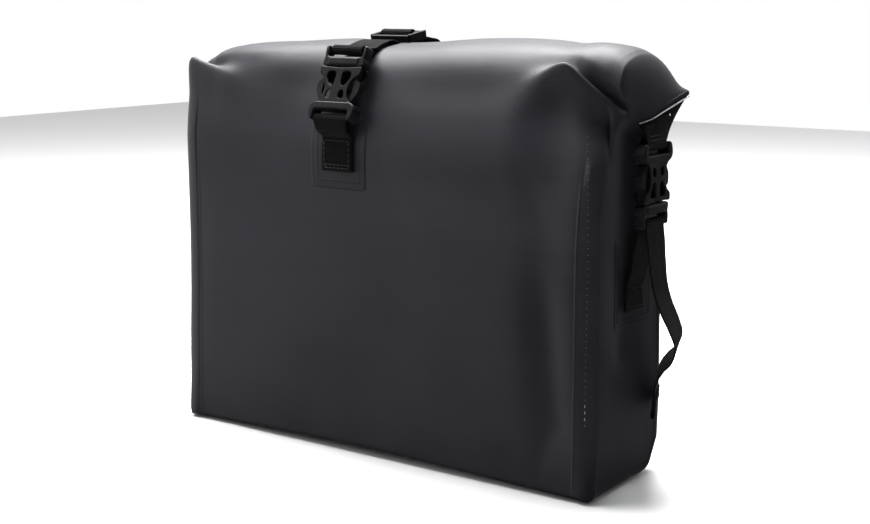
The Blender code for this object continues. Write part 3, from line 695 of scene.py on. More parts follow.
def build_skin(cloth):
    """The standing body and the roll, made as one surface and then parted where they separate."""
    front, rest = stations()
    plan = Plan(front, rest)
    n_front = len(plan.front_cols)
    roll = np.array([arc_points(row[5:12]) for row in front]).reshape(len(front), -1)
    roll = interpolate(plan.front_cols, plan.front_knots, roll).reshape(n_front, ROLL_POINTS, 3)

    inward = np.c_[-0.012 * plan.normal, np.full(len(plan.cols), 0.004)]
    start = plan.top + inward
    start[:n_front] = roll[:, 0]
    controls = wall_controls(plan) + [start]
    steps = list(LEVEL_STEPS)
    joined = [row[:n_front] for row in controls] + [roll[:, k] for k in range(1, ROLL_POINTS)]
    over = spline_rows(joined, steps + [ROLL_STEPS] * (ROLL_POINTS - 1))
    behind = spline_rows([row[n_front:] for row in controls], steps)
    body_rows = sum(steps) + 1
    body = np.concatenate([over[:body_rows], behind], axis=1)
    body = shape_body(np.concatenate([bottom_rows(plan), body], axis=0), plan.normal)
    return assemble_skin(body, over[body_rows - 1 :], plan, cloth)


def round_heel(y, z):
    """Depth of a point after the rear of the bag is rounded off towards the bottom."""
    drop = HEEL_R - np.clip(z, 0.0, HEEL_R)
    missing = HEEL_R - np.sqrt(HEEL_R**2 - drop**2)
    return y - missing * np.clip((y + 0.020) / (REAR_Y + 0.020), 0.0, 1.0)


def shape_body(body, normal):
    """Bulges, dents and seam relief, all fading out before the fabric leans in."""
    x, y, z = body[..., 0], body[..., 1], body[..., 2]
    wide = np.abs(x)
    fade = 1.0 - smoothstep(0.245, 0.275, z)
    low = smoothstep(0.0, 0.02, z)
    is_front = smoothstep(0.030, 0.050, -y) * (1.0 - smoothstep(SEAM_X - 0.004, SEAM_X + 0.004, wide))
    is_side = smoothstep(0.185, 0.195, wide)
    push_y = -front_bulge(x, z) * is_front * fade * low
    push_x = -np.sign(x) * gusset_dent(y, z) * is_side * (1.0 - smoothstep(0.262, 0.282, z))
    relief = seam_relief(x, y, z) * low * (1.0 - smoothstep(0.262, 0.285, z))
    out = np.array(body)
    out[..., 0] += push_x + relief * normal[:, 0]
    out[..., 1] += push_y + relief * normal[:, 1]

    # The front's bottom edge is drawn up in its middle, and its corners stand out.
    foot = 0.0045 * smoothstep(0.10, 0.02, z)
    sides = hump(x, 0.0, 0.16) * smoothstep(0.045, 0.053, -y)
    out[..., 2] += foot * sides * (z < 0.02)
    corner = 0.0045 * hump(wide, 0.190, 0.007) * hump(y, -0.051, 0.006) * smoothstep(0.045, 0.0, z)
    out[..., 0] += np.sign(x) * corner
    out[..., 1] -= corner

    # The rear is fuller low down at its sides, and the left wall leans out.
    out[..., 1] += 0.0032 * smoothstep(0.02, 0.05, y) * smoothstep(0.12, 0.17, wide) * hump(z, 0.060, 0.065)
    out[..., 1] = round_heel(out[..., 1], out[..., 2])
    left = smoothstep(-0.150, -0.195, x) * fade
    out[..., 0] -= left * (0.0012 + 0.0045 * hump(z, 0.035, 0.075))
    return out


def cap_surface(section, sign):
    """The end of the roll: bulges past its last section, then curls in to the mouth's edge."""
    edge = EDGE_LINE * np.array([sign, 1, 1])
    place = np.linspace(0.0, 1.0, len(EDGE_LINE))
    at = np.linspace(0.0, 1.0, len(section))
    target = interpolate(at, place, edge)
    amount = np.clip(np.sin(math.pi * np.clip(at * 1.08, 0, 1)), 0, 1)[:, None] ** 0.6
    out = np.array([sign * 0.024, 0.016, -0.020]) * amount
    back = np.array([-sign * 0.006, -0.006, -0.034]) * amount
    columns = []
    for i in range(CAP_COLUMNS + 1):
        columns.append(hermite(section, target, out, back, i / CAP_COLUMNS))
    return np.stack(columns, 1)


def close_bottom(first, base):
    """Points and faces of two rings inside the outline, with one face in the middle."""
    count = len(base)
    points = []
    faces = []
    outer = 0
    ring = first
    for share in (0.35, 0.75):
        inner = np.c_[base * [1.0, 1.0 - share], np.zeros(count)]
        inner[:, 0] *= 0.93 - 0.25 * share
        inner[:, 1] = round_heel(inner[:, 1], inner[:, 2])
        points.extend(inner)
        for c in range(count):
            d = (c + 1) % count
            faces.append((ring + c, ring + d, outer + d, outer + c))
        outer = ring
        ring += count
    faces.append(tuple(range(ring - 1, outer - 1, -1)))
    return np.array(points), faces


def whole_normals(verts, faces, shared):
    """Normals of the whole surface, so that the line where its parts meet doesn't show."""
    temp = bpy.data.meshes.new("temp")
    whole = [tuple(shared.get(i, i) for i in f) for f in faces]
    temp.from_pydata([tuple(map(float, v)) for v in verts], [], whole)
    normals = np.zeros(len(verts) * 3)
    temp.vertices.foreach_get("normal", normals)
    bpy.data.meshes.remove(temp)
    normals = normals.reshape(-1, 3)
    for copy, original in shared.items():
        normals[copy] = normals[original]
    return normals


def assemble_skin(body, roll, plan, cloth):
    """The two fabric objects: the standing shell with its bottom, and the roll with its end caps."""
    rows, n_cols = body.shape[:2]
    n_front = len(plan.front_cols)
    left_cap = cap_surface(roll[:, 0], -1)[:, :0:-1]
    right_cap = cap_surface(roll[:, -1], 1)[:, 1:]
    wide = np.concatenate([left_cap, roll, right_cap], axis=1)

    v_body = run_length(body[:, n_front // 2])
    v_roll = v_body[-1] + run_length(roll[:, n_front // 2])
    uv_body = np.stack(np.meshgrid(plan.cols, v_body), -1)
    u_cap = 0.0016 * np.arange(1, CAP_COLUMNS + 1)
    u_roll = np.r_[plan.cols[0] - u_cap[::-1], plan.front_cols, plan.front_cols[-1] + u_cap]
    uv_roll = np.stack(np.meshgrid(u_roll, v_roll), -1)

    first = rows * n_cols
    bottom, bottom_faces = close_bottom(first + wide.shape[0] * wide.shape[1], plan.base)
    verts = np.concatenate([body.reshape(-1, 3), wide.reshape(-1, 3), bottom])
    uvs = np.concatenate([uv_body.reshape(-1, 2), uv_roll.reshape(-1, 2), bottom[:, :2]])
    body_faces = grid_faces(rows, n_cols, closed=True) + bottom_faces
    roll_faces = grid_faces(len(roll), wide.shape[1], first=first)
    shared = {first + CAP_COLUMNS + c: (rows - 1) * n_cols + c for c in range(n_front)}
    normals = whole_normals(verts, body_faces + roll_faces, shared)
    shell = part_of("shell", verts, uvs, normals, body_faces, cloth)
    rolled = part_of("roll", verts, uvs, normals, roll_faces, cloth)
    return shell, rolled


def part_of(name, verts, uvs, normals, faces, material):
    """One fabric object from the faces given, keeping the whole surface's normals."""
    used = sorted(set(i for f in faces for i in f))
    index = {old: new for new, old in enumerate(used)}
    faces = [tuple(index[i] for i in f) for f in faces]
    obj = make(name, verts[used], faces, material, uvs=uvs[used])
    obj.data.normals_split_custom_set_from_vertices([tuple(n) for n in normals[used]])
    return obj


class Surface:
    """Finds the skin from outside, so that patches and straps can be laid on it."""

    def __init__(self, *objects):
        verts = []
        faces = []
        for obj in objects:
            first = len(verts)
            verts.extend(v.co.copy() for v in obj.data.vertices)
            faces.extend([first + i for i in p.vertices] for p in obj.data.polygons)
        self.tree = BVHTree.FromPolygons(verts, faces)

    def hit(self, point, direction, far=0.25):
        direction = Vector(direction).normalized()
        start = Vector(point) - direction * far
        place, normal, _, _ = self.tree.ray_cast(start, direction)
        if place is None:
            return Vector(point), -direction
        if normal.dot(direction) > 0:
            normal = -normal
        return place, normal


# ---------------------------------------------------------------- patches, straps, stitches


def laid_patch(name, surface, low, high, corners, bead_at, to_point, direction, material):
    """A thin welded patch that follows the skin, with a rounded step at its border and a bead.

    `low` and `high` are opposite corners of its outline, and `corners` the radii of its low and
    high corners. The bead runs `bead_at` inside the border.
    """
    outline_distance = rounded_box_depth(low, high, *corners)
    a, b = (np.linspace(low[k] - 0.001, high[k] + 0.001, 90) for k in (0, 1))
    verts = []
    uvs = []
    keep = {}
    for j, vb in enumerate(b):
        for i, va in enumerate(a):
            depth = outline_distance(va, vb)
            if depth < -0.0006:
                continue
            point, normal = surface.hit(to_point(va, vb), direction)
            lift = PATCH_LIFT * smoothstep(-0.0006, 0.0006, depth) - 0.0002
            lift += PATCH_BEAD * hump(depth, bead_at, 0.00045)
            keep[i, j] = len(verts)
            verts.append(tuple(point + normal * float(lift)))
            uvs.append((va, vb))
    faces = []
    for j in range(len(b) - 1):
        for i in range(len(a) - 1):
            quad = [(i, j), (i + 1, j), (i + 1, j + 1), (i, j + 1)]
            if all(q in keep for q in quad):
                faces.append(tuple(keep[q] for q in quad))
    obj = make(name, verts, faces, material, uvs=uvs, body="bag")
    facing = sum((p.normal * p.area for p in obj.data.polygons), Vector()).dot(Vector(direction))
    if facing > 0:
        obj.data.flip_normals()
    return obj


def rounded_box_depth(low, high, radius_low, radius_high):
    """A function that gives how far inside a rounded rectangle a place lies."""
    def depth(a, b):
        radius = radius_high if b > 0.5 * (low[1] + high[1]) else radius_low
        ca = min(max(a, low[0] + radius), high[0] - radius)
        cb = min(max(b, low[1] + radius), high[1] - radius)
        outside = math.hypot(a - ca, b - cb)
        if outside > 0:
            return radius - outside
        return min(a - low[0], high[0] - a, b - low[1], high[1] - b)

    return depth


# Half of the webbing's section: shares of its half width, and of its half thickness there.
RIBBON_EDGE = ((-1.0, 0.30), (-0.985, 0.75), (-0.94, 1.0), (-0.86, 1.0), (-0.62, 0.84), (-0.31, 0.86))
# A stitch's profile: place along it, height and thickness, as shares of its length and radius.
STITCH_PROFILE = ((-0.5, -0.9, 0.3), (-0.42, 0.2, 0.9), (-0.15, 0.8, 1.0))
STITCH_PROFILE += tuple((-at, rise, size) for at, rise, size in reversed(STITCH_PROFILE))


def ribbon(name, path, across, width, material, body=None, thickness=WEB_T):
    """Flat webbing along a path. `across` and `width` are one for all points, or one for each."""
    path = np.asarray(path, float)
    n = len(path)
    tangent = unit(np.gradient(path, axis=0))
    across = np.broadcast_to(np.asarray(across, float), (n, 3))
    across = unit(across - (across * tangent).sum(1, keepdims=True) * tangent)
    out = np.cross(tangent, across)
    half = np.broadcast_to(np.asarray(width, float) / 2, n)
    length = run_length(path)
    section = RIBBON_EDGE + ((0.0, 0.88),) + tuple((-s, t) for s, t in reversed(RIBBON_EDGE))
    section += tuple((s, -t) for s, t in reversed(section))
    verts = []
    uvs = []
    for i in range(n):
        for s, t in section:
            verts.append(path[i] + across[i] * s * half[i] + out[i] * t * thickness / 2)
            uvs.append((s * half[0], length[i]))
    m = len(section)
    faces = grid_faces(n, m, closed=True)
    faces.append(tuple(range(m - 1, -1, -1)))
    faces.append(tuple((n - 1) * m + k for k in range(m)))
    obj = make(name, verts, faces, material, uvs=uvs, body=body)
    edit(obj, face_outwards)
    obj.data.set_sharp_from_angle(angle=math.radians(60))
    return obj


def add_tube(verts, faces, centres, radii, side, up, ring):
    """Adds a closed tube round `centres` to a mesh; `side` and `up` span its section."""
    first = len(verts)
    for centre, radius in zip(centres, radii):
        for k in range(ring):
            angle = math.tau * k / ring
            verts.append(centre + (side * math.cos(angle) + up * math.sin(angle)) * radius)
    last = first + (len(centres) - 1) * ring
    faces += grid_faces(len(centres), ring, closed=True, first=first)
    faces.append(tuple(first + k for k in range(ring - 1, -1, -1)))
    faces.append(tuple(last + k for k in range(ring)))


def stitches(name, places, material, body, length=0.0028, radius=0.00028):
    """Short raised threads. Each place is (point, direction along, normal)."""
    verts = []
    faces = []
    for point, along, normal in places:
        point = np.array(point, float)
        along = unit(along)
        normal = np.array(normal, float)
        side = unit(np.cross(along, normal))
        centres = [point + along * at * length + normal * rise * radius for at, rise, _ in STITCH_PROFILE]
        add_tube(verts, faces, centres, [radius * size for _, _, size in STITCH_PROFILE], side, normal, 6)
    obj = make(name, verts, faces, material, body=body)
    edit(obj, face_outwards)


def line_places(start, end, pitch, surface_at):
    """Stitch places from start to end, with `surface_at` giving (point, normal)."""
    start = np.array(start, float)
    end = np.array(end, float)
    count = int(round(np.linalg.norm(end - start) / pitch))
    along = unit(end - start)
    out = []
    for i in range(count):
        p = start + (end - start) * (i + 0.5) / count
        point, normal = surface_at(p)
        out.append((point, along, normal))
    return out


# ---------------------------------------------------------------- the soft pieces on the skin


def front_place(across, along, out):
    """A place in the front buckle's own axes, in the row frame."""
    lean = Vector((0.0, math.sin(FRONT_LEAN), math.cos(FRONT_LEAN)))
    face = Vector((0.0, -math.cos(FRONT_LEAN), math.sin(FRONT_LEAN)))
    return FRONT_BUCKLE + Vector((across, 0.0, 0.0)) + lean * along + face * out


def side_place(sign, across, along, out):
    """A place in a side buckle's own axes, in the row frame."""
    place = Vector((sign * SIDE_BUCKLE.x, SIDE_BUCKLE.y, SIDE_BUCKLE.z))
    return place + Vector((sign * out, across, -along))


def around(centre, start_angle, end_angle, radius, count=7):
    """Points (a, b) round a bar, with angles in degrees."""
    steps = np.radians(np.linspace(start_angle, end_angle, count))
    return [(centre[0] + radius * math.cos(t), centre[1] + radius * math.sin(t)) for t in steps]


def build_patches(skin, tape):
    """The welded patches under the front buckle and under each side strap."""
    low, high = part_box("front_patch")
    front = laid_patch("front_patch_cloth", skin, (low.x, low.z), (high.x, high.z), (0.0025, 0.0107),
                       0.0063, lambda a, b: (a, FRONT_Y, b), (0, 1, 0), tape)
    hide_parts("front_patch")
    for side, sign in SIDES:
        low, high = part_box("side_patch_" + side)
        name = "side_patch_cloth_" + side
        patch = laid_patch(name, skin, (low.y, low.z), (high.y, high.z), (0.003, 0.003), 0.0055,
                           lambda a, b, s=sign: (s * HALF_W, a, b), (-sign, 0, 0), tape)
        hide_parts("side_patch_" + side)


def build_front_anchor(skin, web, seam):
    """Doubled webbing sewn on the patch, whose loop holds the female buckle's bar."""
    x = FRONT_BUCKLE.x
    bar = front_place(0, LOOP_BAR, 0)
    ray = Vector((0, 1, 0))
    heights = np.linspace(ANCHOR_LOW, ANCHOR_HIGH - 0.003, 5)
    under = [(skin.hit((x, FRONT_Y, z), ray)[0].y - ANCHOR_LIFT, z) for z in heights]
    over = [(y - WEB_T - 0.0001, z) for y, z in under]
    loop = around((bar.y, bar.z), 200, -20, LOOP_R, 9)
    route = over + [(-0.0655, 0.2610)] + loop + [(-0.0592, 0.2605)] + under[::-1]
    path = smooth_path([(x, y, z) for y, z in route], 150)
    z = path[:, 2]
    width = WEB + 0.0032 * smoothstep(0.257, 0.270, z)
    anchor = ribbon("front_anchor", path, (1, 0, 0), width, web)
    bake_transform(anchor)
    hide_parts("front_anchor_webbing")

    def face(p):
        y = skin.hit((p[0], FRONT_Y, p[2]), ray)[0].y - ANCHOR_LIFT - 1.5 * WEB_T
        return (p[0], y - 0.0001, p[2]), (0, -1, 0)

    places = []
    half = WEB / 2 - 0.0028
    first_row = ANCHOR_LOW + 0.0028
    last_row = ANCHOR_HIGH - 0.0050
    for z in (first_row, first_row + 0.0024, last_row):
        places += line_places((x - half, 0, z), (x + half, 0, z), 0.0044, face)
    for edge in (x - half, x + half):
        places += line_places((edge, 0, first_row), (edge, 0, last_row), 0.0044, face)
    stitches("front_anchor_stitching", places, seam, "bag", length=0.0032, radius=0.00034)


def strap_on_roll(degrees, lift):
    """A point over the roll where the top strap crosses it."""
    front, _ = stations()
    left = [row for row in front if abs(row[0] - FRONT_BUCKLE.x) < 1e-6][0]
    before, here, after = (np.array(on_roll(left[5:12], degrees + step)) for step in (-1, 0, 1))
    run = unit(after - before)
    return tuple(here + lift * np.array((run[1], -run[0])))


def glide_place(along, up):
    """A place (y, z) from the tri-glide's own axes."""
    c = math.cos(GLIDE_TILT)
    s = math.sin(GLIDE_TILT)
    return (GLIDE_PLACE.y + along * c - up * s, GLIDE_PLACE.z + along * s + up * c)


# The strap's way under, over and under the tri-glide's bars, in the tri-glide's own axes, up to
# its middle; then its way (y, z) down the rear to the rail.
THREADING = ((-0.0150, -0.0034), (-0.0072, -0.0030), (-0.0040, 0.0008), (-0.0028, 0.0042), (0.0, 0.0052))
STRAP_DOWN = (
    (0.0490, 0.3288),
    (0.0590, 0.3268),
    (0.0655, 0.3200),
    (0.0683, 0.3070),
    (0.0676, 0.2880),
    (0.0645, 0.2700),
    (0.0630, 0.2610),
    (0.0630, 0.2430),
)


def build_top_strap(web):
    """Webbing from the male buckle's bar over the roll, through the tri-glide, down to the rail."""
    x = FRONT_BUCKLE.x
    bar = front_place(0, STRAP_BAR, 0)
    tuck = [strap_on_roll(a, 0.0018) for a in (118, 128, 138)]
    loop = around((bar.y, bar.z), 290, 42, LOOP_R, 10)
    over = [strap_on_roll(a, 0.0034) for a in (139, 129, 119, 109)]
    glide = [glide_place(a, b) for a, b in THREADING]
    glide += [glide_place(-a, b) for a, b in reversed(THREADING[:-1])]
    route = tuck + loop + over + glide + list(STRAP_DOWN)
    path = smooth_path([(x, y, z) for y, z in route], 330)
    middle = int(np.argmax(path[:, 1] > GLIDE_PLACE.y))
    front = ribbon("top_strap_webbing", path[: middle + 1], (1, 0, 0), WEB, web)
    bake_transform(front)
    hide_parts("top_strap")
    rear = ribbon("top_strap_rear", path[middle:], (1, 0, 0), WEB, web)
    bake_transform(rear)


# The loose tail of the right side strap, from the male's bar down to its hem.
SIDE_TAIL = (
    (0.2122, 0.0110, 0.1860),
    (0.2138, 0.0112, 0.1700),
    (0.2162, 0.0120, 0.1530),
    (0.2205, 0.0140, 0.1380),
    (0.2262, 0.0165, 0.1240),
    (0.2288, 0.0190, 0.1130),
    (0.2250, 0.0210, 0.1020),
    (0.2165, 0.0235, 0.0930),
    (0.2095, 0.0265, 0.0830),
    (0.2060, 0.0300, 0.0700),
    (0.2030, 0.0330, 0.0545),
)
SIDE_TWIST = -22.0


def build_side_strap(side, sign, skin, web, seam):
    """Webbing sewn to the side patch, up behind and round the male's bar, with a loose tail."""
    bar = side_place(1, 0, STRAP_BAR, 0)
    y = SIDE_BUCKLE.y
    ray = Vector((-sign, 0, 0))
    flat = []
    for z in (0.1335, 0.1400, 0.1460, 0.1520):
        point, _ = skin.hit((sign * HALF_W, y, z), ray)
        flat.append((abs(point.x) + SIDE_LIFT, y, z))
    rise = [(0.1988, y, 0.1640), (0.2005, y, 0.1780), (0.2030, y, 0.1900)]
    loop = [(a, y, b) for a, b in around((bar.x, bar.z), 200, -20, LOOP_R, 8)]
    route = np.array(flat + rise + loop + list(SIDE_TAIL))
    path = smooth_path(route, 260) * np.array([sign, 1, 1])
    turn_from = np.argmax(path[:, 2]) + 8
    free = smoothstep(turn_from, len(path) - 30, np.arange(len(path)))
    twist = np.radians(SIDE_TWIST) * free * sign
    across = np.stack([np.sin(twist) * 0.9, np.cos(twist), 0.35 * free], 1)
    strap = ribbon("side_strap_webbing_" + side, path, across, 0.0285, web)
    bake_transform(strap)
    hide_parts("side_strap_" + side)

    build_hem(side, path[-1], unit(path[-1] - path[-6]), across[-1], web, seam)
    anchor_stitches(side, sign, skin, seam)


# How the tail's end is folded back: distances along the strap and off its face.
HEM_FOLD = (
    (-0.011, 0.0),
    (-0.006, 0.0),
    (-0.001, 0.0),
    (0.0012, 0.0010),
    (-0.001, 0.0021),
    (-0.006, 0.0019),
    (-0.012, 0.0017),
)


def build_hem(side, end, tangent, across, web, seam):
    """The folded and sewn end of the side strap's tail."""
    normal = unit(np.cross(tangent, across))
    fold = [end + tangent * a + normal * b for a, b in HEM_FOLD]
    ribbon("side_strap_hem_" + side, smooth_path(fold, 40), across, 0.0292, web, body="bag")
    across = unit(across)
    middle = end - tangent * 0.005 + normal * 0.0028
    places = [(middle + across * k * 0.0036, across, normal) for k in range(-3, 4)]
    stitches("side_strap_hem_stitching_" + side, places, seam, "bag", length=0.0026)
    loose_threads("side_strap_threads_" + side, end, tangent, across, seam)


# Each loose thread: its shift across the hem, its lean and its length.
LOOSE_THREADS = ((-0.012, 0.5, 0.006), (-0.009, -0.4, 0.004), (0.0125, 0.7, 0.007))


def loose_threads(name, end, tangent, across, seam):
    """A few cut threads that stick out of the hem."""
    verts = []
    faces = []
    for k, (shift, lean, length) in enumerate(LOOSE_THREADS):
        start = end + across * shift
        way = unit(tangent + across * lean)
        side = unit(np.cross(way, (0.3, 0.2, 0.9)))
        up = np.cross(way, side)
        shares = [i / 6 for i in range(7)]
        centres = [start + way * length * t + up * 0.0012 * math.sin(3.0 * t + k) for t in shares]
        add_tube(verts, faces, centres, [0.00016] * 7, side, up, 4)
    obj = make(name, verts, faces, seam, body="bag")
    edit(obj, face_outwards)


def anchor_stitches(side, sign, skin, seam):
    """A sewn box where the side webbing meets its patch."""
    def face(p):
        point, _ = skin.hit((sign * HALF_W, p[1], p[2]), (-sign, 0, 0))
        return (sign * (abs(point.x) + SIDE_LIFT + 0.5 * WEB_T + 0.0001), p[1], p[2]), (sign, 0, 0)

    rear, front = SIDE_BUCKLE.y + 0.0115, SIDE_BUCKLE.y - 0.0115
    low, high = 0.1362, 0.1500
    places = []
    for z in (low, high):
        places += line_places((0, front, z), (0, rear, z), 0.0040, face)
    for y in (front, rear):
        places += line_places((0, y, low), (0, y, high), 0.0040, face)
    stitches("side_anchor_stitching_" + side, places, seam, "bag", length=0.0029)


MOUTH_LINE = EDGE_LINE[2:7]
TAB_HOLE = (0.0262, 0.2775)
TAB_HOLE_R = 0.0012


def build_mouth(side, sign, cloth, pale):
    """The cut edge of the stiffened mouth and the folded layer behind it."""
    edge = smooth_path(MOUTH_LINE, 60) * np.array([sign, 1, 1])
    drop = np.array([sign * 0.0010, -0.0012, -0.0010])
    # The pale edge material on this strip is a painted highlight along the mouth's cut edge.
    ribbon("mouth_edge_highlight_" + side, edge + drop, (sign * 0.55, -0.1, 0.83), 0.0008, pale, body="closure",
           thickness=0.0008)
    inner = edge[12:-2] + np.array([-sign * 0.0012, 0.0002, 0.0022])
    ribbon("mouth_layer_" + side, inner, (sign * 0.75, 0.0, 0.62), 0.0036, cloth, body="closure",
           thickness=0.0012)


def build_tab(side, sign, web):
    """The tab that hangs from the mouth's edge, narrowing to the buckle, with a small eyelet hole."""
    rows = 26
    cols = 34
    top = smooth_path(MOUTH_LINE, cols - 1)
    top[:, 0] -= 0.0010
    verts = []
    uvs = []
    for r in range(rows):
        share = r / (rows - 1)
        for c in range(cols):
            across = c / (cols - 1)
            foot = np.array([SIDE_BUCKLE.x + 0.0032, SIDE_BUCKLE.y - 0.0148 + 0.0296 * across, 0.2598])
            point = top[c] + (foot - top[c]) * (share, 1 - (1 - share) ** 1.9, share)
            point[0] += 0.0012 * math.sin(math.pi * share) * math.sin(math.pi * across)
            verts.append(point * np.array([sign, 1, 1]))
            uvs.append((across * 0.04, share * 0.03))
    faces = []
    for f in grid_faces(rows, cols):
        _, y, z = np.mean([verts[i] for i in f], axis=0)
        if math.hypot(y - TAB_HOLE[0], z - TAB_HOLE[1]) > TAB_HOLE_R:
            faces.append(f)
    tab = make("tab_" + side, verts, faces, web, body="closure", uvs=uvs)
    thick = tab.modifiers.new("thickness", "SOLIDIFY")
    thick.thickness = 0.0013
    thick.offset = 0.0
    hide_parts("roll_tab_" + side)


def build_tab_loop(side, sign, web, seam):
    """The webbing loop sewn to the tab, round the side buckle's bar."""
    bar = side_place(1, 0, LOOP_BAR, 0)
    x = SIDE_BUCKLE.x
    y = SIDE_BUCKLE.y
    route = [(x - 0.0016, 0.2715), (x - 0.0017, 0.2665)]
    route += around((bar.x, bar.z), 160, 380, LOOP_R, 8)
    route += [(x + 0.0017, 0.2670), (x + 0.0017, 0.2720)]
    path = smooth_path([(a, y, b) for a, b in route], 90) * np.array([sign, 1, 1])
    loop = ribbon("tab_webbing_" + side, path, (0, 1, 0), WEB, web, body="closure")
    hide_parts("tab_loop_" + side)

    def face(p):
        return (sign * (x + 0.0041), p[1], p[2]), (sign, 0, 0)

    places = []
    for z in (0.2640, 0.2612):
        places += line_places((0, y - 0.012, z), (0, y + 0.012, z), 0.0040, face)
    stitches("tab_stitching_" + side, places, seam, "closure", length=0.0029)


KNOTS_LOW = 0.0600
KNOTS_HIGH = 0.0775


def build_band_stitches(skin, pale):
    """The thread line that shows through the middle of each front seam band."""
    fine = []
    bright = []
    for sign, x, y in ((-1, 0.1965, -0.0465), (1, 0.1900, -0.0512)):
        way = Vector((-sign * 0.6, 0.8, 0.0))
        for i in range(44):
            z = 0.0584 + 0.0048 * i
            point, normal = skin.hit((sign * x, y, z), way)
            lift = 0.00002 if z > KNOTS_HIGH else 0.00005
            line = bright if KNOTS_LOW < z < KNOTS_HIGH else fine
            line.append((point + normal * lift, (0, 0, 1), normal))
    stitches("band_thread", fine, pale, "bag", length=0.0008, radius=0.00011)
    stitches("band_knots", bright, pale, "bag", length=0.0022, radius=0.00026)


def build_handle(web):
    """The grip's webbing runs from one latch tail to the other and is looped round both."""
    low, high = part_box("carry_handle")
    y = 0.5 * (low.y + high.y)
    level = low.z + WEB_T / 2
    tail = low.z - 0.0027
    end = high.x
    flat = end - 0.014
    half = [(end - 0.022, tail - 0.0032), (end - 0.006, tail - 0.0033), (end + 0.0010, tail - 0.0018)]
    half += [(end + 0.0018, tail), (end + 0.0006, level - 0.0006), (end - 0.006, level), (flat, level)]
    rise = high.z - low.z - WEB_T
    places = np.linspace(0.066, -0.066, 9)
    arch = [(x, level + rise * math.cos(0.5 * math.pi * x / flat) ** 0.8) for x in places]
    route = half + arch + [(-a, b) for a, b in reversed(half)]
    path = smooth_path([(a, y, b) for a, b in route], 240)
    grip = ribbon("handle_webbing", path, (0, 1, 0), high.y - low.y, web, body="handle")
    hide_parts("carry_handle")


# ---------------------------------------------------------------- moulded hardware


def rounded(points, radius, steps=4):
    """A closed outline in millimetres with its corners rounded off, in metres."""
    points = [np.array(p, float) for p in points]
    out = []
    for i, here in enumerate(points):
        back = points[i - 1] - here
        ahead = points[(i + 1) % len(points)] - here
        reach = min(radius, 0.45 * np.linalg.norm(back), 0.45 * np.linalg.norm(ahead))
        a = here + back / np.linalg.norm(back) * reach
        b = here + ahead / np.linalg.norm(ahead) * reach
        for k in range(steps + 1):
            t = k / steps
            out.append(((1 - t) ** 2 * a + 2 * t * (1 - t) * here + t * t * b) * 0.001)
    return out


def both_sides(right):
    """An outline from its right half, listed from the low end to the high end."""
    return list(right) + [(-u, v) for u, v in reversed(right) if abs(u) > 1e-6]


def mirrored(points):
    return [(-u, v) for u, v in reversed(points)]


def box(half_width, low, high):
    return [(-half_width, low), (half_width, low), (half_width, high), (-half_width, high)]


def plate(name, outlines, low, high, edge, place, material, body):
    """A moulded plate: the first outline is its rim, the rest are windows through it.

    It lies between `low` and `high` in front of the outline's plane, with edges rounded by `edge`.
    `place` turns (across, along, out) into the row frame.
    """
    curve = bpy.data.curves.new(name, "CURVE")
    curve.dimensions = "2D"
    curve.fill_mode = "BOTH"
    curve.extrude = 0.5 * (high - low) - edge
    curve.bevel_depth = edge
    curve.bevel_resolution = 2
    curve.offset = -edge
    for points in outlines:
        spline = curve.splines.new("POLY")
        spline.points.add(len(points) - 1)
        for slot, point in zip(spline.points, points):
            slot.co = (point[0], point[1], 0.0, 1.0)
        spline.use_cyclic_u = True
    holder = bpy.data.objects.new(name, curve)
    mesh = bpy.data.meshes.new_from_object(holder)
    middle = 0.5 * (low + high)
    verts = [place(v.co.x, v.co.y, v.co.z + middle) for v in mesh.vertices]
    faces = [tuple(p.vertices) for p in mesh.polygons]
    bpy.data.objects.remove(holder)
    bpy.data.curves.remove(curve)
    bpy.data.meshes.remove(mesh)
    obj = make(name, verts, faces, material, body=body)
    edit(obj, merge_doubles, face_outwards)
    normals = obj.modifiers.new("normals", "WEIGHTED_NORMAL")
    normals.weight = 100
    return obj


# Outlines in millimetres, across and along the buckle. WAIST, COLLAR, LADDER and BRIDGE are right
# halves, the windows are the right-hand ones, and the rods and stem are half width, low, high.
WAIST = (
    (0.0, 9.0),
    (17.0, 9.0),
    (21.8, 9.6),
    (20.4, 12.2),
    (14.8, 14.8),
    (12.0, 19.5),
    (11.3, 25.0),
    (12.6, 30.5),
    (15.6, 34.6),
    (19.6, 36.8),
    (20.4, 40.0),
    (19.6, 43.0),
    (8.0, 42.2),
    (0.0, 41.8),
)
LARGE_WINDOW = ((3.0, 38.4), (3.0, 30.6), (4.8, 26.6), (8.4, 28.8), (12.0, 34.4), (11.2, 38.6), (6.8, 39.6))
SMALL_WINDOW = ((3.8, 23.2), (3.4, 18.0), (6.2, 16.4), (9.0, 17.8), (8.4, 22.4), (6.2, 24.2))
COLLAR = ((0.0, 8.0), (16.8, 8.0), (16.8, -0.6), (19.8, -0.4), (21.8, 2.6), (22.9, 8.4), (20.9, 12.2))
COLLAR += ((17.0, 14.2), (0.0, 14.2))
LADDER = ((0.0, 43.6), (16.8, 43.6), (20.2, 44.6), (20.5, 47.4), (19.4, 50.4), (20.4, 54.0), (20.2, 59.4))
LADDER += ((18.8, 60.6), (16.8, 60.6), (16.8, 51.6), (0.0, 51.6))
BRIDGE = ((13.5, 44.4), (15.2, 45.6), (14.6, 50.6), (0.0, 50.8))
STEM = (2.2, 15.2, 44.6)
LOOP_ROD = (17.6, 0.0, 3.2)
STRAP_ROD = (17.6, 56.8, 60.0)
ROD_HALF = 0.0016
BUCKLE_HALF = 0.00525
WALL = 0.0018


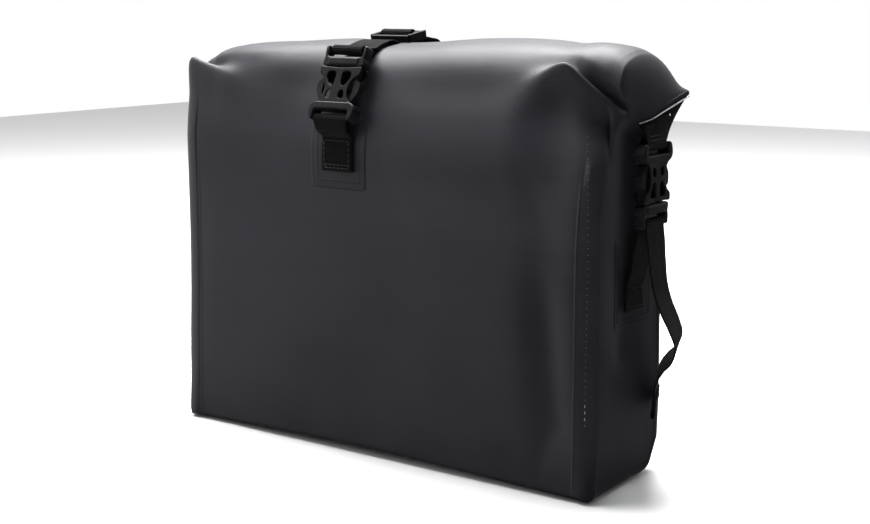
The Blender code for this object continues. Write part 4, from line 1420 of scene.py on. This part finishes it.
def build_buckle(name, place, plastic, female_body, male_body):
    """A side-release buckle: a waisted, windowed socket, and a ladder end on a guide stem."""
    windows = ((LARGE_WINDOW, 1.9), (SMALL_WINDOW, 1.5))
    face = [rounded(both_sides(WAIST), 2.6)]
    face += [rounded(hole, radius) for one, radius in windows for hole in (one, mirrored(one))]
    half = BUCKLE_HALF
    female = (
        ("face", face, half - WALL, half, 0.0006),
        ("back", face, -half, WALL - half, 0.0006),
        ("collar", [rounded(both_sides(COLLAR), 1.8)], -half, half + 0.0003, 0.0013),
        ("loop_rod", [rounded(box(*LOOP_ROD), 0.4)], -ROD_HALF, ROD_HALF, 0.0014),
    )
    male = (
        ("ladder", [rounded(both_sides(LADDER), 1.6)], -0.0042, 0.0042, 0.0012),
        ("strap_rod", [rounded(box(*STRAP_ROD), 0.4)], -ROD_HALF, ROD_HALF, 0.0014),
        ("bridge", [rounded(both_sides(BRIDGE), 1.4)], -half, half, 0.0013),
        ("stem", [rounded(box(*STEM), 0.8)], -0.0025, 0.0025, 0.0006),
    )
    firsts = []
    for body, parts in ((female_body, female), (male_body, male)):
        plates = [plate("%s_%s" % (name, part), *shape, place, plastic, body) for part, *shape in parts]
        firsts.append(plates[0])
    return firsts


def build_buckles(plastic):
    """The front buckle on the panel and one on each side, whose arms stay the CAD's."""
    female, male = build_buckle("front_buckle", front_place, plastic, "front_female", "bag")
    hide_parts("front_buckle_female")
    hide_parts("front_buckle_male")
    for side, sign in SIDES:
        def place(across, along, out, s=sign):
            return side_place(s, across, along, out)

        female, male = build_buckle("side_buckle_" + side, place, plastic, "closure", "side_male_" + side)
        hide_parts("side_%s_buckle_female" % side)
        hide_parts("side_%s_buckle_male" % side)


# The tri-glide's bars: name, place along it in millimetres, and their heights.
GLIDE_BARS = (
    ("near", -10.5, -0.0027, 0.0027),
    ("middle", 0.0, 0.0002, 0.0036),
    ("far", 10.5, -0.0027, 0.0027),
)


def build_tri_glide(plastic):
    """A frame with a raised middle bar, which the top strap is threaded over."""
    def place(across, along, out):
        y, z = glide_place(along, out)
        return (GLIDE_PLACE.x + across, y, z)

    rims = [rounded(box(20.0, -12.2, 12.2), 3.0)]
    rims += [rounded(box(16.2, low, high), 0.9) for low, high in ((-8.8, -2.2), (2.2, 8.8))]
    body = plate("tri_glide_frame", rims, -0.0014, 0.0014, 0.0009, place, plastic, "glide")
    for end, v, low, high in GLIDE_BARS:
        rod = rounded(box(19.0, v - 1.7, v + 1.7), 0.8)
        plate("tri_glide_bar_" + end, [rod], low, high, 0.0009, place, plastic, "glide")
    for side, sign in SIDES:
        cheek = [(sign * u, v) for u, v in ((20.1, -11.8), (20.1, 11.8), (17.2, 11.8), (17.2, -11.8))]
        name = "tri_glide_cheek_" + side
        plate(name, [rounded(cheek, 1.3)], -0.0032, 0.0034, 0.0010, place, plastic, "glide")
    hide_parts("tri_glide")


# The collar's outline at four heights: z, half width, front y, rear y.
COLLAR_ROWS = (
    (0.2860, 0.183, -0.0270, 0.0340),
    (0.2940, 0.182, -0.0255, 0.0325),
    (0.3030, 0.180, -0.0235, 0.0300),
    (0.3120, 0.178, -0.0215, 0.0270),
)


def build_collar(cloth):
    """The fabric inside the roof that is drawn out as the roll is lifted and unrolled."""
    count = 120
    verts = []
    for z, half_x, front, rear in COLLAR_ROWS:
        for k in range(count):
            c, s = squared(math.tau * k / count, 0.35)
            verts.append((half_x * c, 0.5 * (front + rear) + 0.5 * (rear - front) * s, z))
    faces = grid_faces(len(COLLAR_ROWS), count, closed=True)
    collar = make("collar", verts, faces, cloth)
    edit(collar, cut_edges_twice)
    collar.data.shade_smooth()
    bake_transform(collar)


# ---------------------------------------------------------------- assembly


EDGE_RADIUS = {"buckle_plastic": 0.0005, "steel": 0.0003}


def dress_cad(materials):
    """Better materials and softened edges on the CAD parts that keep their shape."""
    slots = {m["slot"] for m in frame["record"]["materials"]}
    for name, obj in frame["nodes"].items():
        kind = "buckle_plastic"
        if "screw" in name or "pin" in name or name == "strap_anchor_plate":
            kind = "steel"
        elif name in ("back_board", "mouth_stiffener"):
            kind = "board"
        elif name == "carry_handle":
            kind = "webbing"
        if kind in slots and obj.data.materials:
            obj.data.materials[0] = materials[kind]
        if kind in EDGE_RADIUS:
            bevel(obj, EDGE_RADIUS[kind])


CAMERA_LENS = 58.4
CAMERA_PLACE = Vector((0.66598, -0.91274, 0.35992))
CAMERA_FORWARD = Vector((-0.56664, 0.80349, -0.18256)).normalized()
CAMERA_RIGHT = Vector((0.81722, 0.57632, 0.0)).normalized()
CAMERA_UP = CAMERA_RIGHT.cross(CAMERA_FORWARD)


def build_camera():
    """The camera fitted to the photo's viewpoint."""
    data = bpy.data.cameras.new("camera")
    data.lens = CAMERA_LENS
    data.sensor_width = 36.0
    camera = bpy.data.objects.new("camera", data)
    rows = Matrix((CAMERA_RIGHT, CAMERA_UP, -CAMERA_FORWARD)).transposed()
    camera.matrix_world = Matrix.Translation(CAMERA_PLACE) @ rows.to_4x4()
    bpy.context.scene.collection.objects.link(camera)
    bpy.context.scene.camera = camera


def area_light(name, place, target, size, power):
    data = bpy.data.lights.new(name, "AREA")
    data.shape = "RECTANGLE"
    data.size, data.size_y = size
    data.energy = power
    light = bpy.data.objects.new(name, data)
    direction = Vector(target) - Vector(place)
    light.rotation_euler = direction.to_track_quat("-Z", "Y").to_euler()
    light.location = place
    bpy.context.scene.collection.objects.link(light)


BACKDROP_WAY = Vector((-0.90, 0.35, 0.25)).normalized()
BACKDROP_LIGHT = 1.0
ROOM_LIGHT = 0.04
KEY_WATTS = 125.0
REAR_WATTS = 3.0
FILL_WATTS = 3.0


def studio_world():
    """A white backdrop behind and to the left, a dark room to the right, and no light from below."""
    world = bpy.data.worlds.new("studio")
    world.use_nodes = True
    tree = world.node_tree

    def add(kind, **inputs):
        node = tree.nodes.new("ShaderNode" + kind)
        for name, value in inputs.items():
            node.inputs[name.replace("_", " ")].default_value = value
        return node

    background = tree.nodes["Background"]
    background.inputs["Color"].default_value = (1.0, 1.0, 1.0, 1.0)
    direction = add("TexCoord").outputs["Generated"]
    facing = add("VectorMath")
    facing.operation = "DOT_PRODUCT"
    facing.inputs[1].default_value = BACKDROP_WAY
    fall = add("MapRange", From_Min=-0.12, From_Max=0.55, To_Min=ROOM_LIGHT, To_Max=BACKDROP_LIGHT)
    fall.interpolation_type = "SMOOTHSTEP"
    height = add("SeparateXYZ")
    under = add("MapRange", From_Min=-0.65, From_Max=-0.22)
    product = add("Math")
    product.operation = "MULTIPLY"
    for output, socket in (
        (direction, facing.inputs[0]),
        (facing.outputs["Value"], fall.inputs["Value"]),
        (direction, height.inputs["Vector"]),
        (height.outputs["Z"], under.inputs["Value"]),
        (fall.outputs["Result"], product.inputs[0]),
        (under.outputs["Result"], product.inputs[1]),
        (product.outputs["Value"], background.inputs["Strength"]),
    ):
        tree.links.new(output, socket)
    bpy.context.scene.world = world


def build_studio():
    """A white floor, a large softbox high on the left, and weak lights from the rear and the front."""
    studio_world()
    half = 3.0
    verts = [(-half, -half, 0), (half, -half, 0), (half, half, 0), (-half, half, 0)]
    floor_paint = Nodes("floor", (0.93, 0.93, 0.94), 0.6)
    floor = make("floor", verts, [(0, 1, 2, 3)], floor_paint.material)
    floor.location.z = -0.0006
    floor.visible_glossy = False

    area_light("key", (-0.40, 0.32, 1.65), (0, 0, 0.25), (1.6, 1.05), KEY_WATTS)
    area_light("rear", (1.05, 1.00, 1.10), (0.2, 0, 0.3), (1.0, 0.8), REAR_WATTS)
    area_light("fill", (-0.7, -1.5, 0.9), (0, 0, 0.15), (1.2, 0.8), FILL_WATTS)
    scene = bpy.context.scene
    scene.view_settings.view_transform = "Standard"
    scene.view_settings.look = "None"


def main():
    cloth = coated_fabric()
    tape = band_fabric()
    web = webbing_cloth()
    plastic = moulded_plastic()
    materials = {
        "buckle_plastic": plastic,
        "steel": brushed_steel(),
        "board": board_sheet(),
        "webbing": web,
    }
    dress_cad(materials)
    shell, roll = build_skin(cloth)
    skin = Surface(shell, roll)
    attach(shell, "bag")
    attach(roll, "closure")
    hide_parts("front_panel", "gusset", "back_panel", "roof_skirt")
    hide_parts("roll_top")
    seam = thread()
    pale = pale_thread()
    # The mouth edge's pale colour is a painted highlight.
    edge = painted_highlight_edge()
    build_patches(skin, tape)
    build_front_anchor(skin, web, seam)
    build_top_strap(web)
    for side, sign in SIDES:
        build_side_strap(side, sign, skin, web, seam)
        build_mouth(side, sign, tape, edge)
        build_tab(side, sign, web)
        build_tab_loop(side, sign, web, seam)
    build_band_stitches(skin, pale)
    build_handle(web)
    build_collar(cloth)
    build_buckles(plastic)
    build_tri_glide(plastic)
    build_camera()
    build_studio()


main()
